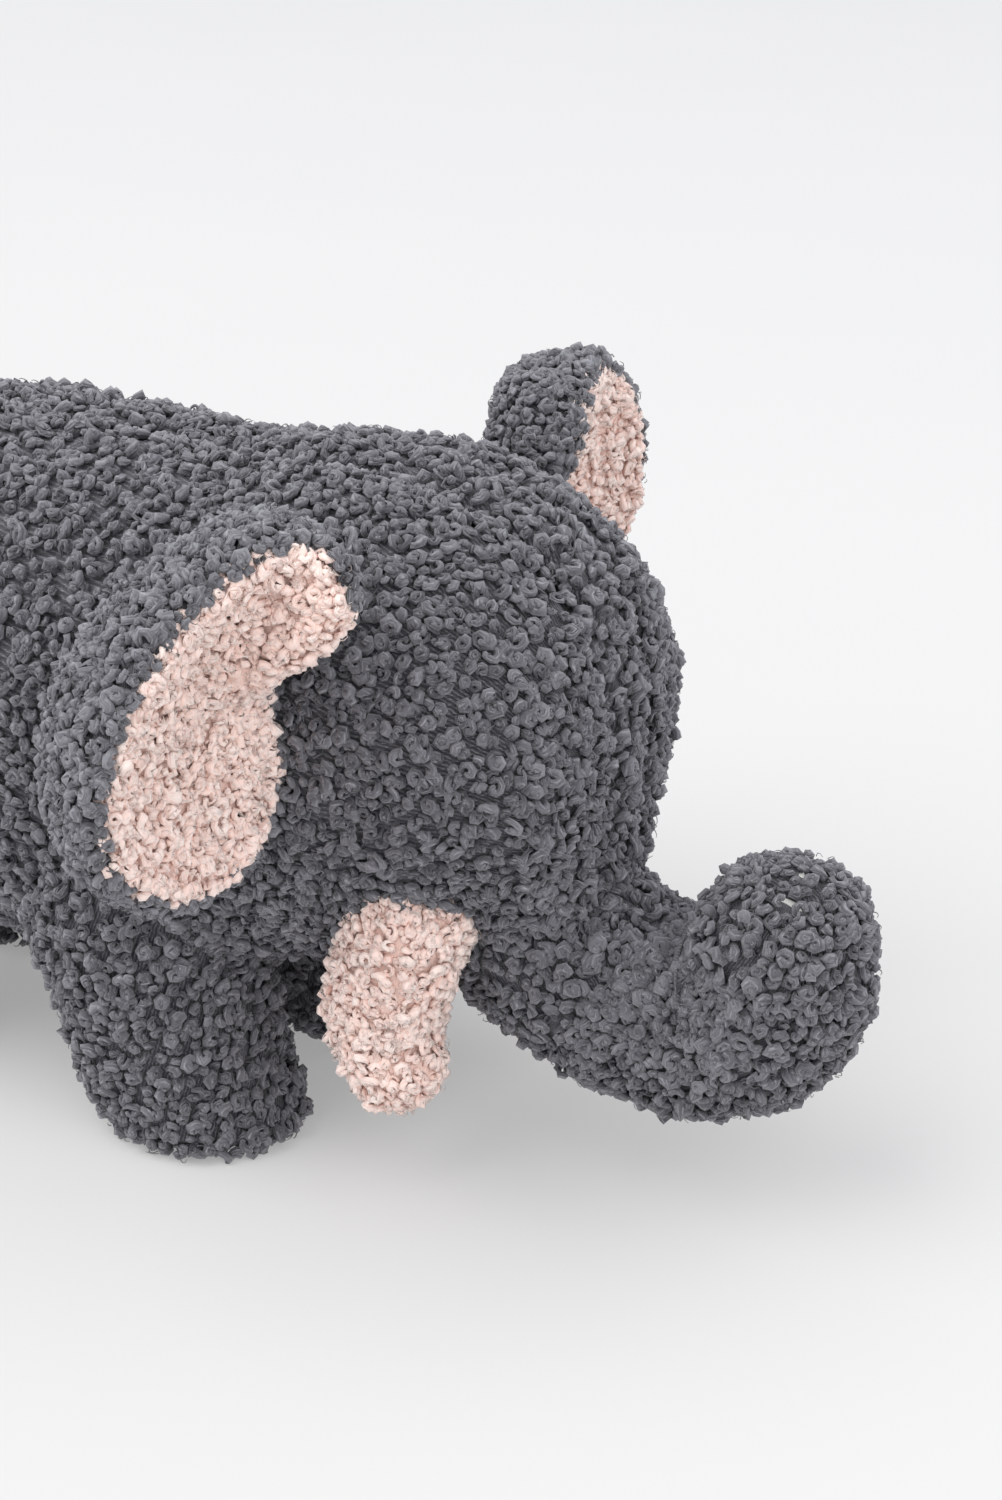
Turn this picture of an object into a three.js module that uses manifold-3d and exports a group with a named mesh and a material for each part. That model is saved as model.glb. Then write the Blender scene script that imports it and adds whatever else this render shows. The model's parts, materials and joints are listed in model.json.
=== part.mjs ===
import * as THREE from 'three';
import { mergeVertices } from 'three/addons/utils/BufferGeometryUtils.js';
import Module from 'manifold-3d';

const wasm = await Module();
wasm.setup();

// A stuffed elephant in millimetres. It stands on Z = 0 and faces -Y; +X is its left side.
// Y is counted from the front legs until the whole toy is centred at the end.

// Covers, fillings and clearances
const coverThick = 5;
const coverToFill = 0.4;
const seamGap = 0.3;
const socketGap = 1.1;
const fillInset = coverThick + coverToFill;
const farAway = 600;

// Body: one bag for torso and head
// Each row is a place along the body: y, top, underside, half width.
const bodyRows = [
  [-121, 132, 132, 0],
  [-118.5, 153, 105, 22],
  [-110.5, 173, 81, 42],
  [-88, 190, 71, 58],
  [-60, 199, 58, 66],
  [-30, 198, 49, 68],
  [5, 193, 40, 70],
  [45, 194, 35, 71.5],
  [85, 193.5, 34, 71.5],
  [118, 186, 40, 66],
  [143, 168, 57, 52],
  [159, 142, 83, 30],
  [165, 111, 111, 0],
];
const bodyRings = 16;
const bodySides = 22;
const headGussetWidth = 24;
const headGussetFullTo = -40;
const headGussetEnd = 12;
const headGussetFloor = 80;
const bellyGussetWidth = 34;
const bellyGussetStart = -62;
const bellyGussetFullFrom = -15;
const bellyGussetFullTo = 110;
const bellyGussetEnd = 150;
const bellyGussetCeiling = 100;
const gussetTipHalf = 1;

// Legs
const legSpread = 40;
const hipHeight = 62;
const hipRadius = 33;
const ankleRadius = 28.5;
const soleRadius = 27;
const soleThick = 6;
const frontLegLean = 18;
const frontLegBack = 16;
const rearLegLean = -4;
const rearLegBack = 115;
const legSwing = 12;
const legSideRoom = 2;
const legSides = 16;
const soleTaper = 1.5;
// Heights of the leg's rings, as shares of the hip height.
const legLevels = [0.4, 0.7, 1];
const legDomeSteps = 4;
// Heights of the rings of the room that a leg swings in, as shares of the hip height.
const legRoomLevels = [0, 0.5, 0.8];

// Trunk
// Centre line from the face to the turned-up end: y, z, radius.
const trunkRows = [
  [-92, 69, 30],
  [-112, 57, 28.5],
  [-134, 50, 26.5],
  [-156, 54, 26],
  [-167, 78, 25],
];
const trunkBendRow = 2;
const trunkBallExtra = 1;
const trunkGussetWidth = 20;
const trunkSides = 12;
// The head is cut away this far to each side of the trunk's root and this far above it.
const trunkMouthHalf = 70;
const trunkMouthAbove = 60;

// Tusks
const tuskRoot = new THREE.Vector3(43, -74, 79);
const tuskMiddle = new THREE.Vector3(43.5, -66, 54);
const tuskTip = new THREE.Vector3(44, -70, 39);
const tuskRootRadius = 14;
const tuskMiddleRadius = 15.5;
const tuskTipRadius = 13.5;
const tuskOpening = 9;
const tuskSweep = 6;
const tuskSides = 10;
const tuskSteps = 2;
// The hollow inside the cover runs this far past its root and narrows towards its mouth.
const tuskHollowPast = 20;
const tuskHollowRootLess = 1;
const tuskHollowMouthLess = 3;

// Ears
const earRoot = new THREE.Vector3(67, -42, 142);
const earBackward = 25;
const earSides = 22;
const earRingCount = 5;
const earBackThick = 6;
const earFrontThick = 5;
const earLayerGap = 1;
const earFoldForward = 15;
const earFoldBack = 30;
// The back layer is a cup with steep walls; the front layer lines it and fills the walls' foot.
// Each surface starts from its own hollow (outwards, upwards, forwards) and reaches this share of the rim.
const earBackForm = { hollow: [27, 8, 0], turn: 2.4, rise: 3, reach: 1 };
const earLiningFoot = { hollow: [27, 8, 0], turn: 2.4, rise: 3, reach: 0.94 };
const earLiningFace = { hollow: [14, 14, 2], turn: 1, rise: 1.25, reach: 0.97 };
// Each rim: outwards from the root, upwards from its middle, and how far the rim curls forwards.
const earRims = {
  right: [
    [60, 9, 31], [57, 20, 32], [51, 31, 31], [41, 42, 29], [27, 50, 26], [13, 56, 26], [3, 57, 30],
    [-2, 52, 36], [-2, 43, 36], [2, 33, 22], [3, 18, 5], [2, 0, 0], [3, -15, 2], [11, -26, 8],
    [24, -30, 13], [40, -26, 19], [52, -16, 24], [59, -4, 28],
  ],
  left: [
    [52, 8, 35], [52, 22, 35], [47, 37, 32], [40, 45, 27], [28, 48, 22], [17, 48, 20], [7, 45, 20],
    [1, 38, 19], [2, 26, 13], [3, 14, 6], [2, 0, 2], [3, -15, 2], [11, -26, 8],
    [24, -30, 13], [38, -26, 19], [48, -16, 24], [51, -4, 31],
  ],
};

// Tail
// Centre line from the rump down to the end: y, z, radius.
const tailRows = [
  [158, 127, 8],
  [171, 120, 7.5],
  [179, 104, 7],
  [180, 86, 7],
  [179, 74, 6.5],
];
const tailCoverThick = 3;
const tailSides = 8;
const tailSteps = 2;
// The tail's cover opens this far inside the rump and this far above the tail's first place.
const tailMouthInside = 4;
const tailMouthAbove = 2;

// Materials
const greyBoucle = { colour: 0x55575c, roughness: 0.95 };
const pinkBoucle = { colour: 0xe8c8c0, roughness: 0.95 };
const fibreFill = { colour: 0xf2f0ea, roughness: 1 };

const group = new THREE.Group();

function solidOf(geometry) {
  const plain = geometry.clone();
  plain.deleteAttribute('normal');
  plain.deleteAttribute('uv');
  const merged = mergeVertices(plain, 1e-4);
  return new wasm.Manifold(new wasm.Mesh({
    numProp: 3,
    vertProperties: new Float32Array(merged.attributes.position.array),
    triVerts: new Uint32Array(merged.index.array),
  }));
}

function addPiece(name, solid, finish) {
  const mesh = solid.getMesh();
  const geometry = new THREE.BufferGeometry();
  geometry.setAttribute('position', new THREE.BufferAttribute(mesh.vertProperties, 3));
  geometry.setIndex(new THREE.BufferAttribute(mesh.triVerts, 1));
  geometry.computeVertexNormals();
  const material = new THREE.MeshStandardMaterial({
    color: finish.colour,
    roughness: finish.roughness,
    metalness: 0,
  });
  const piece = new THREE.Mesh(geometry, material);
  piece.name = name;
  group.add(piece);
}

// A closed skin through rings of { at, across, up }; each end closes on its own middle point.
function loftOf(rings, sides, startPoint, endPoint) {
  const places = [startPoint];
  for (const ring of rings) {
    for (let side = 0; side < sides; side += 1) {
      const turn = (2 * Math.PI * side) / sides;
      places.push(ring.at.clone()
        .addScaledVector(ring.across, Math.cos(turn))
        .addScaledVector(ring.up, Math.sin(turn)));
    }
  }
  places.push(endPoint);
  const index = [];
  const last = places.length - 1;
  for (let side = 0; side < sides; side += 1) {
    const next = (side + 1) % sides;
    index.push(0, 1 + next, 1 + side);
    for (let row = 0; row < rings.length - 1; row += 1) {
      const low = 1 + row * sides;
      const high = low + sides;
      index.push(low + side, low + next, high + next);
      index.push(low + side, high + next, high + side);
    }
    const top = 1 + (rings.length - 1) * sides;
    index.push(top + side, top + next, last);
  }
  const geometry = new THREE.BufferGeometry().setFromPoints(places);
  geometry.setIndex(index);
  return geometry;
}

// A round tube along rows of { at, radius } with a dome on each end that asks for one.
function tubeOf(rows, sides, stepsPerRow, domes) {
  const path = new THREE.CatmullRomCurve3(rows.map((row) => row.at), false, 'catmullrom', 0.5);
  const radii = new THREE.CatmullRomCurve3(
    rows.map((row, order) => new THREE.Vector3(order, row.radius, 0)), false, 'catmullrom', 0.5);
  const rings = [];
  const ringAt = (at, along, radius) => {
    const across = new THREE.Vector3(1, 0, 0);
    across.addScaledVector(along, -across.dot(along)).normalize();
    const up = along.clone().cross(across);
    rings.push({ at, across: across.multiplyScalar(radius), up: up.multiplyScalar(radius) });
  };
  const domeSteps = 3;
  const start = { at: path.getPoint(0), along: path.getTangent(0), radius: rows[0].radius };
  const end = { at: path.getPoint(1), along: path.getTangent(1), radius: rows.at(-1).radius };
  for (let step = 1; domes.start && step < domeSteps; step += 1) {
    const tilt = (Math.PI / 2) * (step / domeSteps);
    const at = start.at.clone().addScaledVector(start.along, -start.radius * Math.cos(tilt));
    ringAt(at, start.along, start.radius * Math.sin(tilt));
  }
  const steps = (rows.length - 1) * stepsPerRow;
  for (let step = 0; step <= steps; step += 1) {
    const share = step / steps;
    ringAt(path.getPoint(share), path.getTangent(share), radii.getPoint(share).y);
  }
  for (let step = domeSteps - 1; domes.end && step > 0; step -= 1) {
    const tilt = (Math.PI / 2) * (step / domeSteps);
    const at = end.at.clone().addScaledVector(end.along, end.radius * Math.cos(tilt));
    ringAt(at, end.along, end.radius * Math.sin(tilt));
  }
  const first = start.at.clone().addScaledVector(start.along, domes.start ? -start.radius : 0);
  const final = end.at.clone().addScaledVector(end.along, domes.end ? end.radius : 0);
  return loftOf(rings, sides, first, final);
}

function ballOf(at, radius, sides) {
  const ball = new THREE.SphereGeometry(radius, sides, Math.round(sides / 2));
  return ball.translate(at.x, at.y, at.z);
}

// A ball whose flat faces all stay outside the radius, to cut room for a rounder one.
function roomBallOf(at, radius, sides) {
  return ballOf(at, radius / Math.cos(Math.PI / sides) ** 2, sides);
}

function boxOf(lowX, highX, lowY, highY, lowZ, highZ) {
  const box = new THREE.BoxGeometry(highX - lowX, highY - lowY, highZ - lowZ);
  return solidOf(box.translate((lowX + highX) / 2, (lowY + highY) / 2, (lowZ + highZ) / 2));
}

// Everything on the far side of a plane, as a very large block.
function beyond(at, along) {
  const block = new THREE.BoxGeometry(farAway, farAway, farAway);
  block.translate(0, 0, farAway / 2);
  const turn = new THREE.Quaternion().setFromUnitVectors(new THREE.Vector3(0, 0, 1), along);
  block.applyQuaternion(turn);
  return solidOf(block.translate(at.x, at.y, at.z));
}

// A plan-view outline stood up from one height to another.
function standing(outline, lowZ, highZ) {
  const shape = new THREE.Shape(outline.map(([x, y]) => new THREE.Vector2(x, y)));
  const prism = new THREE.ExtrudeGeometry(shape, { depth: highZ - lowZ, bevelEnabled: false });
  return solidOf(prism.translate(0, 0, lowZ));
}

// The same geometry on the other side of the toy, with its faces still outwards.
function mirrored(geometry) {
  const copy = geometry.clone();
  copy.scale(-1, 1, 1);
  const index = Array.from(copy.index.array);
  for (let corner = 0; corner < index.length; corner += 3) {
    [index[corner], index[corner + 1]] = [index[corner + 1], index[corner]];
  }
  copy.setIndex(index);
  return copy;
}

function leanOf(leg) {
  return Math.tan(THREE.MathUtils.degToRad(leg.lean));
}

const sidesOfToy = [{ side: 'right', sign: -1 }, { side: 'left', sign: 1 }];
const half = {
  right: boxOf(-farAway, -seamGap / 2, -farAway, farAway, -farAway, farAway),
  left: boxOf(seamGap / 2, farAway, -farAway, farAway, -farAway, farAway),
};

// Body shapes
function bodyShape(inset) {
  const line = (column) => new THREE.CatmullRomCurve3(
    bodyRows.map((row) => new THREE.Vector3(row[3], row[0], row[column])), false, 'catmullrom', 0.5);
  const crown = line(1);
  const belly = line(2);
  const halfLength = (bodyRows.at(-1)[0] - bodyRows[0][0]) / 2;
  const centreY = (bodyRows.at(-1)[0] + bodyRows[0][0]) / 2;
  const slim = 1 - inset / halfLength;
  const rings = [];
  for (let step = 1; step < bodyRings; step += 1) {
    const share = (1 - Math.cos((Math.PI * step) / bodyRings)) / 2;
    const top = crown.getPoint(share);
    const under = belly.getPoint(share);
    const middle = (top.z + under.z) / 2;
    const sideways = new THREE.Vector3(Math.max(top.x - inset, 1), 0, 0);
    const upwards = new THREE.Vector3(0, 0, Math.max((top.z - under.z) / 2 - inset, 1));
    const at = new THREE.Vector3(0, centreY + (top.y - centreY) * slim, middle);
    rings.push({ at, across: upwards, up: sideways });
  }
  const nose = new THREE.Vector3(0, bodyRows[0][0] + inset, bodyRows[0][1]);
  const rump = new THREE.Vector3(0, bodyRows.at(-1)[0] - inset, bodyRows.at(-1)[1]);
  return loftOf(rings, bodySides, nose, rump);
}

// Legs
const legPlaces = [
  { place: 'front', y: frontLegBack, lean: frontLegLean },
  { place: 'rear', y: rearLegBack, lean: rearLegLean },
];

function legRadiusAt(below) {
  return hipRadius - (hipRadius - ankleRadius) * (below / hipHeight);
}

// A dome on a leaning cone; the rings stay level, so that the foot is flat.
function legShape(x, leg, inset, floor) {
  const rings = [];
  for (const level of [floor, ...legLevels.map((share) => share * hipHeight)]) {
    const below = hipHeight - level;
    const size = legRadiusAt(below) - inset;
    const at = new THREE.Vector3(x, leg.y - leanOf(leg) * below, level);
    rings.push({ at, across: new THREE.Vector3(size, 0, 0), up: new THREE.Vector3(0, size, 0) });
  }
  const radius = hipRadius - inset;
  for (let step = 1; step < legDomeSteps; step += 1) {
    const tilt = (Math.PI / 2) * (step / legDomeSteps);
    const size = radius * Math.cos(tilt);
    const at = new THREE.Vector3(x, leg.y, hipHeight + radius * Math.sin(tilt));
    rings.push({ at, across: new THREE.Vector3(size, 0, 0), up: new THREE.Vector3(0, size, 0) });
  }
  const foot = rings[0].at.clone();
  const crest = new THREE.Vector3(x, leg.y, hipHeight + radius);
  return loftOf(rings, legSides, foot, crest);
}

// How far forwards and backwards of the hip a swinging leg reaches near one height.
function legReach(leg, level) {
  const step = 2;
  const reach = { front: 0, rear: 0 };
  for (let degrees = -legSwing; degrees <= legSwing; degrees += step) {
    const turn = THREE.MathUtils.degToRad(degrees);
    for (let below = 0; below <= hipHeight; below += step) {
      for (const end of [-1, 1]) {
        const y = -leanOf(leg) * below + end * legRadiusAt(below);
        const turnedY = y * Math.cos(turn) + below * Math.sin(turn);
        const turnedZ = y * Math.sin(turn) - below * Math.cos(turn);
        if (Math.abs(hipHeight + turnedZ - level) <= step) {
          reach.front = Math.min(reach.front, turnedY);
          reach.rear = Math.max(reach.rear, turnedY);
        }
      }
    }
  }
  return reach;
}

// Room for one leg below its hip at every angle it swings to.
function legSweep(x, leg) {
  const rings = [];
  const facets = Math.cos(Math.PI / legSides);
  for (const level of [...legRoomLevels.map((share) => share * hipHeight), hipHeight + socketGap]) {
    const { front, rear } = legReach(leg, Math.min(level, hipHeight));
    const size = (legRadiusAt(Math.max(hipHeight - level, 0)) + socketGap) / facets + legSideRoom;
    const length = ((rear - front) / 2 + socketGap) / facets;
    rings.push({
      at: new THREE.Vector3(x, leg.y + (front + rear) / 2, level),
      across: new THREE.Vector3(size, 0, 0),
      up: new THREE.Vector3(0, length, 0),
    });
  }
  return loftOf(rings, legSides, rings[0].at.clone(), rings.at(-1).at.clone());
}

let sockets = null;
function cutFromBody(solid) {
  sockets = sockets ? sockets.add(solid) : solid;
}

for (const { side, sign } of sidesOfToy) {
  for (const leg of legPlaces) {
    const x = sign * legSpread;
    const name = `${leg.place}_${side}_leg`;
    const hip = new THREE.Vector3(x, leg.y, hipHeight);
    const ankle = soleThick + seamGap;
    const outer = solidOf(legShape(x, leg, 0, ankle));
    const shell = outer.subtract(solidOf(legShape(x, leg, coverThick, -1)));
    const seamShift = (sign * seamGap) / 2;
    const outwards = beyond(new THREE.Vector3(x + seamShift, 0, 0), new THREE.Vector3(sign, 0, 0));
    const inwards = beyond(new THREE.Vector3(x - seamShift, 0, 0), new THREE.Vector3(-sign, 0, 0));
    addPiece(`${name}_outer_panel`, shell.intersect(outwards), greyBoucle);
    addPiece(`${name}_inner_panel`, shell.intersect(inwards), greyBoucle);
    addPiece(`${name}_fill`, solidOf(legShape(x, leg, fillInset, ankle)), fibreFill);
    const sole = new THREE.CylinderGeometry(soleRadius, soleRadius - soleTaper, soleThick, legSides);
    sole.rotateX(Math.PI / 2).translate(x, leg.y - leanOf(leg) * hipHeight, soleThick / 2);
    addPiece(`${name}_sole`, solidOf(sole), greyBoucle);
    cutFromBody(solidOf(roomBallOf(hip, hipRadius + socketGap, legSides)));
    cutFromBody(solidOf(legSweep(x, leg)));
  }
}

// Trunk
const trunkPoints = trunkRows.map(([y, z, radius]) => ({ at: new THREE.Vector3(0, y, z), radius }));
const trunkRoot = trunkPoints[0];
const trunkBend = trunkPoints[trunkBendRow];
const trunkPath = new THREE.CatmullRomCurve3(trunkPoints.map((p) => p.at), false, 'catmullrom', 0.5);
const rootAlong = trunkPath.getTangent(0);
const bendAlong = trunkPath.getTangent(trunkBendRow / (trunkRows.length - 1));
const pastRoot = beyond(trunkRoot.at, rootAlong);
const pastBend = beyond(trunkBend.at, bendAlong);

// Straight stuffed lengths from row to row, so that the tight turn near the end can crease.
function trunkParts(inset) {
  const lengthOf = (from, to) => solidOf(tubeOf([
    { at: trunkPoints[from].at, radius: trunkPoints[from].radius - inset },
    { at: trunkPoints[to].at, radius: trunkPoints[to].radius - inset },
  ], trunkSides, 1, { start: true, end: true }));
  const ball = ({ at, radius }, extra, sides) => solidOf(ballOf(at, radius + extra - inset, sides));
  const lengths = trunkPoints.slice(1).map((point, order) => lengthOf(order, order + 1));
  const before = lengths.slice(0, trunkBendRow).reduce((sum, next) => sum.add(next));
  const after = lengths.slice(trunkBendRow).reduce((sum, next) => sum.add(next));
  const wall = inset ? coverThick : 0;
  const bendSocket = solidOf(roomBallOf(
    trunkBend.at, trunkBend.radius + trunkBallExtra + socketGap + wall, trunkSides + 2));
  return {
    base: before.intersect(pastRoot).subtract(pastBend)
      .add(ball(trunkRoot, trunkBallExtra, trunkSides)).subtract(bendSocket),
    tip: after.intersect(pastBend).add(ball(trunkBend, trunkBallExtra, trunkSides)),
  };
}

const trunkOuter = trunkParts(0);
const trunkInner = trunkParts(coverThick);
const trunkFilling = trunkParts(fillInset);
const trunkShells = {
  base: trunkOuter.base.subtract(trunkInner.base),
  tip: trunkOuter.tip.subtract(trunkInner.tip),
};
const stripHalf = trunkGussetWidth / 2;
const strip = boxOf(-stripHalf, stripHalf, -farAway, farAway, -farAway, farAway);
const roomHalf = stripHalf + seamGap;
const stripRoom = boxOf(-roomHalf, roomHalf, -farAway, farAway, -farAway, farAway);

// The underside of the trunk is the outside of its bend, and the top is the inside.
// This outline holds the under side, from the trunk's core line outwards, and clears the rest of it.
const coreShares = [0.02, 0.2, 0.4, 0.6, 0.8, 1];
const coreLine = coreShares.map((share) => {
  const at = trunkPath.getPoint(share);
  return new THREE.Vector2(at.y, at.z);
});
const underRear = -40;
const underFront = -250;
const underLow = -20;
const underHigh = 130;
const underFace = new THREE.Vector2(-60, 110);
const underBallFront = -165;
const underOutline = new THREE.Shape([
  underFace, ...coreLine, new THREE.Vector2(underBallFront, underHigh),
  new THREE.Vector2(underFront, underHigh), new THREE.Vector2(underFront, underLow),
  new THREE.Vector2(underRear, underLow), new THREE.Vector2(underRear, underFace.y),
]);
const underPrism = new THREE.ExtrudeGeometry(underOutline, { depth: farAway, bevelEnabled: false });
underPrism.translate(0, 0, -farAway / 2);
underPrism.applyMatrix4(new THREE.Matrix4().makeBasis(
  new THREE.Vector3(0, 1, 0), new THREE.Vector3(0, 0, 1), new THREE.Vector3(1, 0, 0)));
const underTrunk = solidOf(underPrism);

for (const part of ['base', 'tip']) {
  const shell = trunkShells[part];
  addPiece(`trunk_${part}_under_gusset`, shell.intersect(strip).intersect(underTrunk), greyBoucle);
  let sides = shell.subtract(stripRoom.intersect(underTrunk));
  if (part === 'base') {
    addPiece('trunk_base_top_gusset', shell.intersect(strip).subtract(underTrunk), greyBoucle);
    sides = shell.subtract(stripRoom);
  }
  addPiece(`trunk_${part}_right_panel`, sides.intersect(half.right), greyBoucle);
  addPiece(`trunk_${part}_left_panel`, sides.intersect(half.left), greyBoucle);
  addPiece(`trunk_${part}_fill`, trunkFilling[part], fibreFill);
}
cutFromBody(solidOf(roomBallOf(
  trunkRoot.at, trunkRoot.radius + trunkBallExtra + socketGap, trunkSides + 4)));
cutFromBody(pastRoot.intersect(boxOf(
  -trunkMouthHalf, trunkMouthHalf, -farAway, 0, -farAway, trunkRoot.at.z + trunkMouthAbove)));

// Tusks
for (const { side, sign } of sidesOfToy) {
  const place = (at) => new THREE.Vector3(sign * at.x, at.y, at.z);
  const root = place(tuskRoot);
  const along = place(tuskMiddle).sub(root).normalize();
  const tuskShape = (inset) => solidOf(tubeOf([
    { at: root, radius: tuskRootRadius - inset },
    { at: place(tuskMiddle), radius: tuskMiddleRadius - inset },
    { at: place(tuskTip), radius: tuskTipRadius - inset },
  ], tuskSides, tuskSteps, { start: true, end: true }));
  const opening = beyond(root.clone().addScaledVector(along, -tuskOpening), along.clone().negate());
  const outer = tuskShape(0).subtract(opening);
  const core = tuskShape(coverThick).add(solidOf(tubeOf([
    {
      at: root.clone().addScaledVector(along, -tuskHollowPast),
      radius: tuskRootRadius - coverThick - tuskHollowMouthLess,
    },
    { at: root, radius: tuskRootRadius - coverThick - tuskHollowRootLess },
  ], tuskSides, 1, { start: false, end: false })));
  addPiece(`${side}_tusk_cover`, outer.subtract(core), pinkBoucle);
  addPiece(`${side}_tusk_fill`, tuskShape(fillInset).subtract(opening), fibreFill);
  cutFromBody(solidOf(roomBallOf(root, tuskRootRadius + socketGap, tuskSides + 4)));
  cutFromBody(solidOf(tubeOf([
    { at: root, radius: tuskRootRadius + socketGap },
    { at: place(tuskMiddle), radius: tuskMiddleRadius + tuskSweep },
    { at: place(tuskTip), radius: tuskTipRadius + tuskSweep },
  ], tuskSides, 1, { start: false, end: false })));
}

// Tail
const tailPoints = tailRows.map(([y, z, radius]) => ({ at: new THREE.Vector3(0, y, z), radius }));
const tailRoot = tailPoints[0];
function tailShape(inset) {
  const rows = tailPoints.map(({ at, radius }) => ({ at, radius: radius - inset }));
  return solidOf(tubeOf(rows, tailSides, tailSteps, { start: true, end: true }));
}
const tailMouth = beyond(
  new THREE.Vector3(0, tailRoot.at.y - tailMouthInside, tailRoot.at.z + tailMouthAbove),
  new THREE.Vector3(0, -1, 0));
const tailOuter = tailShape(0).subtract(tailMouth);
const tailCore = tailShape(tailCoverThick);
addPiece('tail_cover', tailOuter.subtract(tailCore), greyBoucle);
addPiece('tail_fill', tailShape(tailCoverThick + coverToFill).subtract(tailMouth), fibreFill);
cutFromBody(solidOf(roomBallOf(tailRoot.at, tailRoot.radius + socketGap, tailSides + 2)));
cutFromBody(tailShape(-socketGap));

// Body panels
const bodyOuter = solidOf(bodyShape(0));
const bodyShell = bodyOuter.subtract(solidOf(bodyShape(coverThick))).subtract(sockets);
const gussetHalf = headGussetWidth / 2;
const headPlan = (extra) => [
  [-gussetHalf - extra, -farAway], [gussetHalf + extra, -farAway],
  [gussetHalf + extra, headGussetFullTo], [extra + gussetTipHalf, headGussetEnd],
  [-extra - gussetTipHalf, headGussetEnd], [-gussetHalf - extra, headGussetFullTo],
];
const bellyHalf = bellyGussetWidth / 2;
const bellyPlan = (extra) => [
  [-extra - gussetTipHalf, bellyGussetStart - extra], [extra + gussetTipHalf, bellyGussetStart - extra],
  [bellyHalf + extra, bellyGussetFullFrom], [bellyHalf + extra, bellyGussetFullTo],
  [extra + gussetTipHalf, bellyGussetEnd + extra], [-extra - gussetTipHalf, bellyGussetEnd + extra],
  [-bellyHalf - extra, bellyGussetFullTo], [-bellyHalf - extra, bellyGussetFullFrom],
];
const headStrip = standing(headPlan(0), headGussetFloor, farAway);
const headRoom = standing(headPlan(seamGap), headGussetFloor, farAway);
const bellyStrip = standing(bellyPlan(0), -farAway, bellyGussetCeiling);
const bellyRoom = standing(bellyPlan(seamGap), -farAway, bellyGussetCeiling);
addPiece('head_gusset', bodyShell.intersect(headStrip), greyBoucle);
addPiece('belly_gusset', bodyShell.intersect(bellyStrip), greyBoucle);
const flanks = bodyShell.subtract(headRoom).subtract(bellyRoom);
addPiece('body_right_panel', flanks.intersect(half.right), greyBoucle);
addPiece('body_left_panel', flanks.intersect(half.left), greyBoucle);
addPiece('body_fill', solidOf(bodyShape(fillInset)).subtract(sockets), fibreFill);

// Ears
// Both ears are shaped as a right ear, and the left one is then mirrored.
const earAway = THREE.MathUtils.degToRad(earBackward);
const earOutwards = new THREE.Vector3(-Math.cos(earAway), Math.sin(earAway), 0);
const earForwards = new THREE.Vector3(-Math.sin(earAway), -Math.cos(earAway), 0);
const earUpwards = new THREE.Vector3(0, 0, 1);

// A place on one surface of an ear: turn runs round the rim, and share runs out to it.
function earPlace(edge, form, turn, share) {
  const rim = edge.getPoint(((turn % 1) + 1) % 1);
  const out = 1 - (1 - share) ** form.turn;
  const rise = share ** form.rise;
  const [outwards, upwards, forwards] = form.hollow;
  return new THREE.Vector3(-earRoot.x, earRoot.y, earRoot.z)
    .addScaledVector(earOutwards, outwards + (rim.x - outwards) * out)
    .addScaledVector(earUpwards, upwards + (rim.y - upwards) * out)
    .addScaledVector(earForwards, forwards + (rim.z - forwards) * rise);
}

// The direction straight off that surface, towards the front of the ear.
function earNormal(edge, form, turn, share) {
  const step = 0.01;
  const inner = Math.min(Math.max(share - step, step), 1 - 2 * step);
  const along = earPlace(edge, form, turn, inner + step).sub(earPlace(edge, form, turn, inner - step));
  const round = earPlace(edge, form, turn + step, inner).sub(earPlace(edge, form, turn - step, inner));
  return round.cross(along).normalize();
}

// One layer of an ear: the closed solid between a rear surface and a front surface.
function earLayer(edge, surfaces) {
  const places = [];
  for (const { form, depth } of surfaces) {
    places.push(earPlace(edge, form, 0, 0).addScaledVector(earForwards, depth));
    for (let ring = 1; ring <= earRingCount; ring += 1) {
      const share = form.reach * (ring / earRingCount);
      for (let side = 0; side < earSides; side += 1) {
        const turn = side / earSides;
        const normal = earNormal(edge, form, turn, share);
        places.push(earPlace(edge, form, turn, share).addScaledVector(normal, depth));
      }
    }
  }
  const perLayer = 1 + earRingCount * earSides;
  const index = [];
  const face = (a, b, c) => index.push(a, c, b);
  for (let side = 0; side < earSides; side += 1) {
    const next = (side + 1) % earSides;
    face(0, 1 + next, 1 + side);
    face(perLayer, perLayer + 1 + side, perLayer + 1 + next);
    for (let ring = 0; ring < earRingCount - 1; ring += 1) {
      const low = 1 + ring * earSides;
      const high = low + earSides;
      face(low + side, high + next, high + side);
      face(low + side, low + next, high + next);
      face(perLayer + low + side, perLayer + high + side, perLayer + high + next);
      face(perLayer + low + side, perLayer + high + next, perLayer + low + next);
    }
    const rimRow = 1 + (earRingCount - 1) * earSides;
    face(rimRow + side, perLayer + rimRow + next, perLayer + rimRow + side);
    face(rimRow + side, rimRow + next, perLayer + rimRow + next);
  }
  const geometry = new THREE.BufferGeometry().setFromPoints(places);
  geometry.setIndex(index);
  return geometry;
}

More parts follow.
